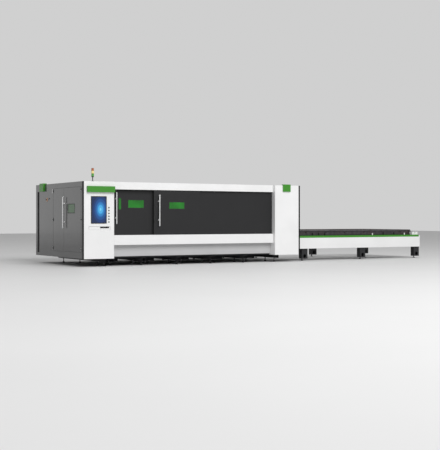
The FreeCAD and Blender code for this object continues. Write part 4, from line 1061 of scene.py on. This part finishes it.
def makeGuides():
    plan = guidePlan
    corners = cornersOf(frame["nodes"]["table_guides"].data)
    groups = corners.reshape(plan["count"], -1, 3)
    lows, highs = groups.min(axis=1), groups.max(axis=1)
    # the guides on the near side, from the cabin outwards
    near = np.lexsort((lows[:, 0], lows[:, 1] > 0))[:plan["count"] // 2]
    highs[near[list(plan["white"])], 2] -= plan["whiteDrop"]
    thick, sunk, (inset, drop) = plan["thick"], plan["sunk"], plan["padIn"]
    brackets, pads = [], []
    for low, high in zip(lows[near], highs[near]):
        foot = softBlock(low, (high[0], high[1], low[2] + thick), plan["footRound"])
        start = (low[0], high[1] - thick, low[2] + sunk)
        upright = softBlock(start, high, plan["uprightRound"], "front")
        centre = ((low[0] + high[0]) / 2, low[1] + plan["boltIn"], low[2] + thick)
        bolt = turnedPart(plan, "bolt", "up", centre)
        brackets.append(joined([foot, upright, bolt]))
        back = high[1] - sunk
        pads.append(softBlock(
            (low[0] + inset, back, low[2] + plan["padLow"]),
            (high[0] - inset, back + plan["padThick"], high[2] - drop), plan["padRound"], "rear",
        ))
    total = corners[:, 1].min() + corners[:, 1].max()
    white = joined([brackets[number] for number in plan["white"]])
    dark = joined([one for number, one in enumerate(brackets) if number not in plan["white"]])
    faces = joined(pads)
    addPiece("guides", "cabin", joined([dark, flipped(dark, total)]), "black_paint", ["table_guides"])
    both = joined([white, flipped(white, total)])
    addPiece("guides_white", "cabin", both, "white_paint", ["table_guides"])
    addPiece("guide_pads", "cabin", joined([faces, flipped(faces, total)]), "black_plastic")


makeGuides()
print("table")

# cutting head: body, collar, cone and tip, with a lens drawer and a cable gland
headPlan = {
    "cone": [
        (0.003, 0.0), (0.006, 0.0), (0.007, 0.004), (0.020, 0.022),
        (0.022, 0.030), (0.040, 0.050), (0.045, 0.066),
    ],
    "collar": [
        (0.0445, 0.066), (0.045, 0.068), (0.045, 0.084), (0.041, 0.086),
        (0.041, 0.090), (0.045, 0.092), (0.045, 0.128), (0.043, 0.130),
    ],
    "coneSteps": 28,
    "collarSteps": 28,
    "tipHigh": 0.130,
    "bodyRound": (0.018, 0.004),
    "drawer": (0.090, 0.055),
    "drawerRise": 0.06,
    "drawerHalf": 0.004,  # half its thickness, on each side of the body's face
    "drawerRound": (0.006, 0.002),
    "gland": [(0.022, 0.0), (0.022, 0.012), (0.018, 0.016), (0.018, 0.030), (0.014, 0.034), (0.004, 0.034)],
    "glandSteps": 20,
    "glandSunk": 0.002,
}


def makeHead():
    plan = headPlan
    low, high = boxOf("cutting_head")
    x, y = (low + high)[:2] / 2
    base = low[2] + plan["tipHigh"]
    body = softBlock((low[0], low[1], base), high, plan["bodyRound"])
    cone, collar = [turnedPart(plan, part, "up", (x, y, low[2])) for part in ("cone", "collar")]
    addPiece("head_body", "head", joined([body, cone, collar]), "aluminium_parts", ["cutting_head"])
    wide, tall = plan["drawer"]
    front, half, bottom = high[0], plan["drawerHalf"], base + plan["drawerRise"]
    drawer = softBlock(
        (front - half, y - wide / 2, bottom), (front + half, y + wide / 2, bottom + tall),
        plan["drawerRound"], "right",
    )
    gland = turnedPart(plan, "gland", "up", (x, y, high[2] - plan["glandSunk"]))
    addPiece("head_lens_drawer", "head", joined([drawer, gland]), "black_plastic")


makeHead()

# laser source: a door with vents and a latch, on the side that the leaves open to
sourcePlan = {
    "doorIn": 0.035,  # from the cabinet's sides
    "doorLow": 0.10,
    "doorDrop": 0.065,
    "proud": 0.006,
    "doorRound": (0.010, 0.002),
    "vents": 9,
    "vent": (0.004, 0.36, 0.008),
    "ventRise": 0.08,
    "ventPitch": 0.022,
    "ventRound": (0.003, 0.0015),
    "latch": (0.010, 0.03, 0.11),
    "latchIn": 0.03,
    "latchRound": (0.008, 0.003),
}


def makeSource():
    plan = sourcePlan
    low, high = boxOf("laser_source")
    y0, y1 = low[1] + plan["doorIn"], high[1] - plan["doorIn"]
    z0, z1 = low[2] + plan["doorLow"], high[2] - plan["doorDrop"]
    front = low[0] - plan["proud"]
    door = softBlock((front, y0, z0), (low[0], y1, z1), plan["doorRound"], "left")
    addPiece("source_door", "cabin", door, "light_grey_paint")
    deep, wide, tall = plan["vent"]
    vent = softBlock((front - deep, -wide / 2, 0), (front, wide / 2, tall), plan["ventRound"], "left")
    heights = z0 + plan["ventRise"] + plan["ventPitch"] * np.arange(plan["vents"])
    places = [(0, (y0 + y1) / 2, height) for height in heights]
    addPiece("source_vents", "cabin", repeated(vent, places), "black_plastic")
    deep, wide, tall = plan["latch"]
    start, middle = y0 + plan["latchIn"], (z0 + z1) / 2
    latch = softBlock(
        (front - deep, start, middle - tall / 2), (front, start + wide, middle + tall / 2),
        plan["latchRound"], "left",
    )
    addPiece("source_latch", "cabin", latch, "black_plastic")


makeSource()
print("head and source")

camera = {
    "place": (-16.107, -25.8185, 1.282),
    "turn": -30.88,  # degrees from straight ahead, towards the table
    "lens": 76.64,
    "shift": (-0.0078, -0.0119),
    "clipEnd": 500,
}


def makeCamera():
    data = bpy.data.cameras.new("camera")
    data.lens = camera["lens"]
    data.shift_x, data.shift_y = camera["shift"]
    data.clip_end = camera["clipEnd"]
    eye = addObject("camera", data)
    eye.location = camera["place"]
    eye.rotation_euler = (math.radians(90), 0, math.radians(camera["turn"]))
    bpy.context.scene.camera = eye


studio = {
    "floorHalf": 60,
    "floorTone": (0.72, 0.72, 0.72),
    "floorRoughness": 0.6,
    "world": 0.42,  # strength that lights the machine
    "background": 0.63,  # strength that is seen, directly, in metal and through glass
    "aim": (-2, 0, 1),
    "lampSize": 16,
    "key": 7000,
    "keyPlace": (-2, -25, 21),
    "side": 215,
    "sidePlace": (-15, 22, 6),
}


def areaLight(name):
    data = bpy.data.lights.new(name, "AREA")
    data.size = studio["lampSize"]
    data.energy = studio[name]
    lamp = addObject(name, data)
    lamp.location = studio[name + "Place"]
    direction = np.array(studio["aim"], float) - np.array(studio[name + "Place"], float)
    lamp.rotation_euler = (
        math.acos(-direction[2] / np.linalg.norm(direction)),
        0,
        math.atan2(direction[1], direction[0]) - math.pi / 2,
    )


def makeFloor():
    half = studio["floorHalf"]
    mesh = bpy.data.meshes.new("floor")
    corners = [(-half, -half, 0), (half, -half, 0), (half, half, 0), (-half, half, 0)]
    mesh.from_pydata(corners, [], [(0, 1, 2, 3)])
    floor = addObject("floor", mesh)
    material, tree, shader = newMaterial()
    material.name = "floor_tone"
    fill(tree, shader, {
        "Base Color": mottled(tree, studio["floorTone"], scale=0.4, detail=3, dark=0.98, light=1),
        "Roughness": studio["floorRoughness"],
    })
    mesh.materials.append(material)


def makeWorld():
    # the background's strength where any of the three rays looks at it, the world's elsewhere
    world = bpy.data.worlds.new("studio")
    bpy.context.scene.world = world
    world.use_nodes = True
    tree = world.node_tree
    rays = addNode(tree, "LightPath", {}).outputs
    seen = rays["Is Camera Ray"]
    for ray in ("Is Glossy Ray", "Is Transmission Ray"):
        seen = addNode(tree, "Math", {0: seen, 1: rays[ray]}, operation="MAXIMUM").outputs["Value"]
    strength = spread(tree, seen, studio["world"], studio["background"], first=0, last=1)
    fill(tree, tree.nodes["Background"], {"Color": (1, 1, 1, 1), "Strength": strength})


makeCamera()
makeFloor()
makeWorld()
areaLight("key")
areaLight("side")
bpy.context.scene.view_settings.view_transform = "Standard"
print("camera and studio")
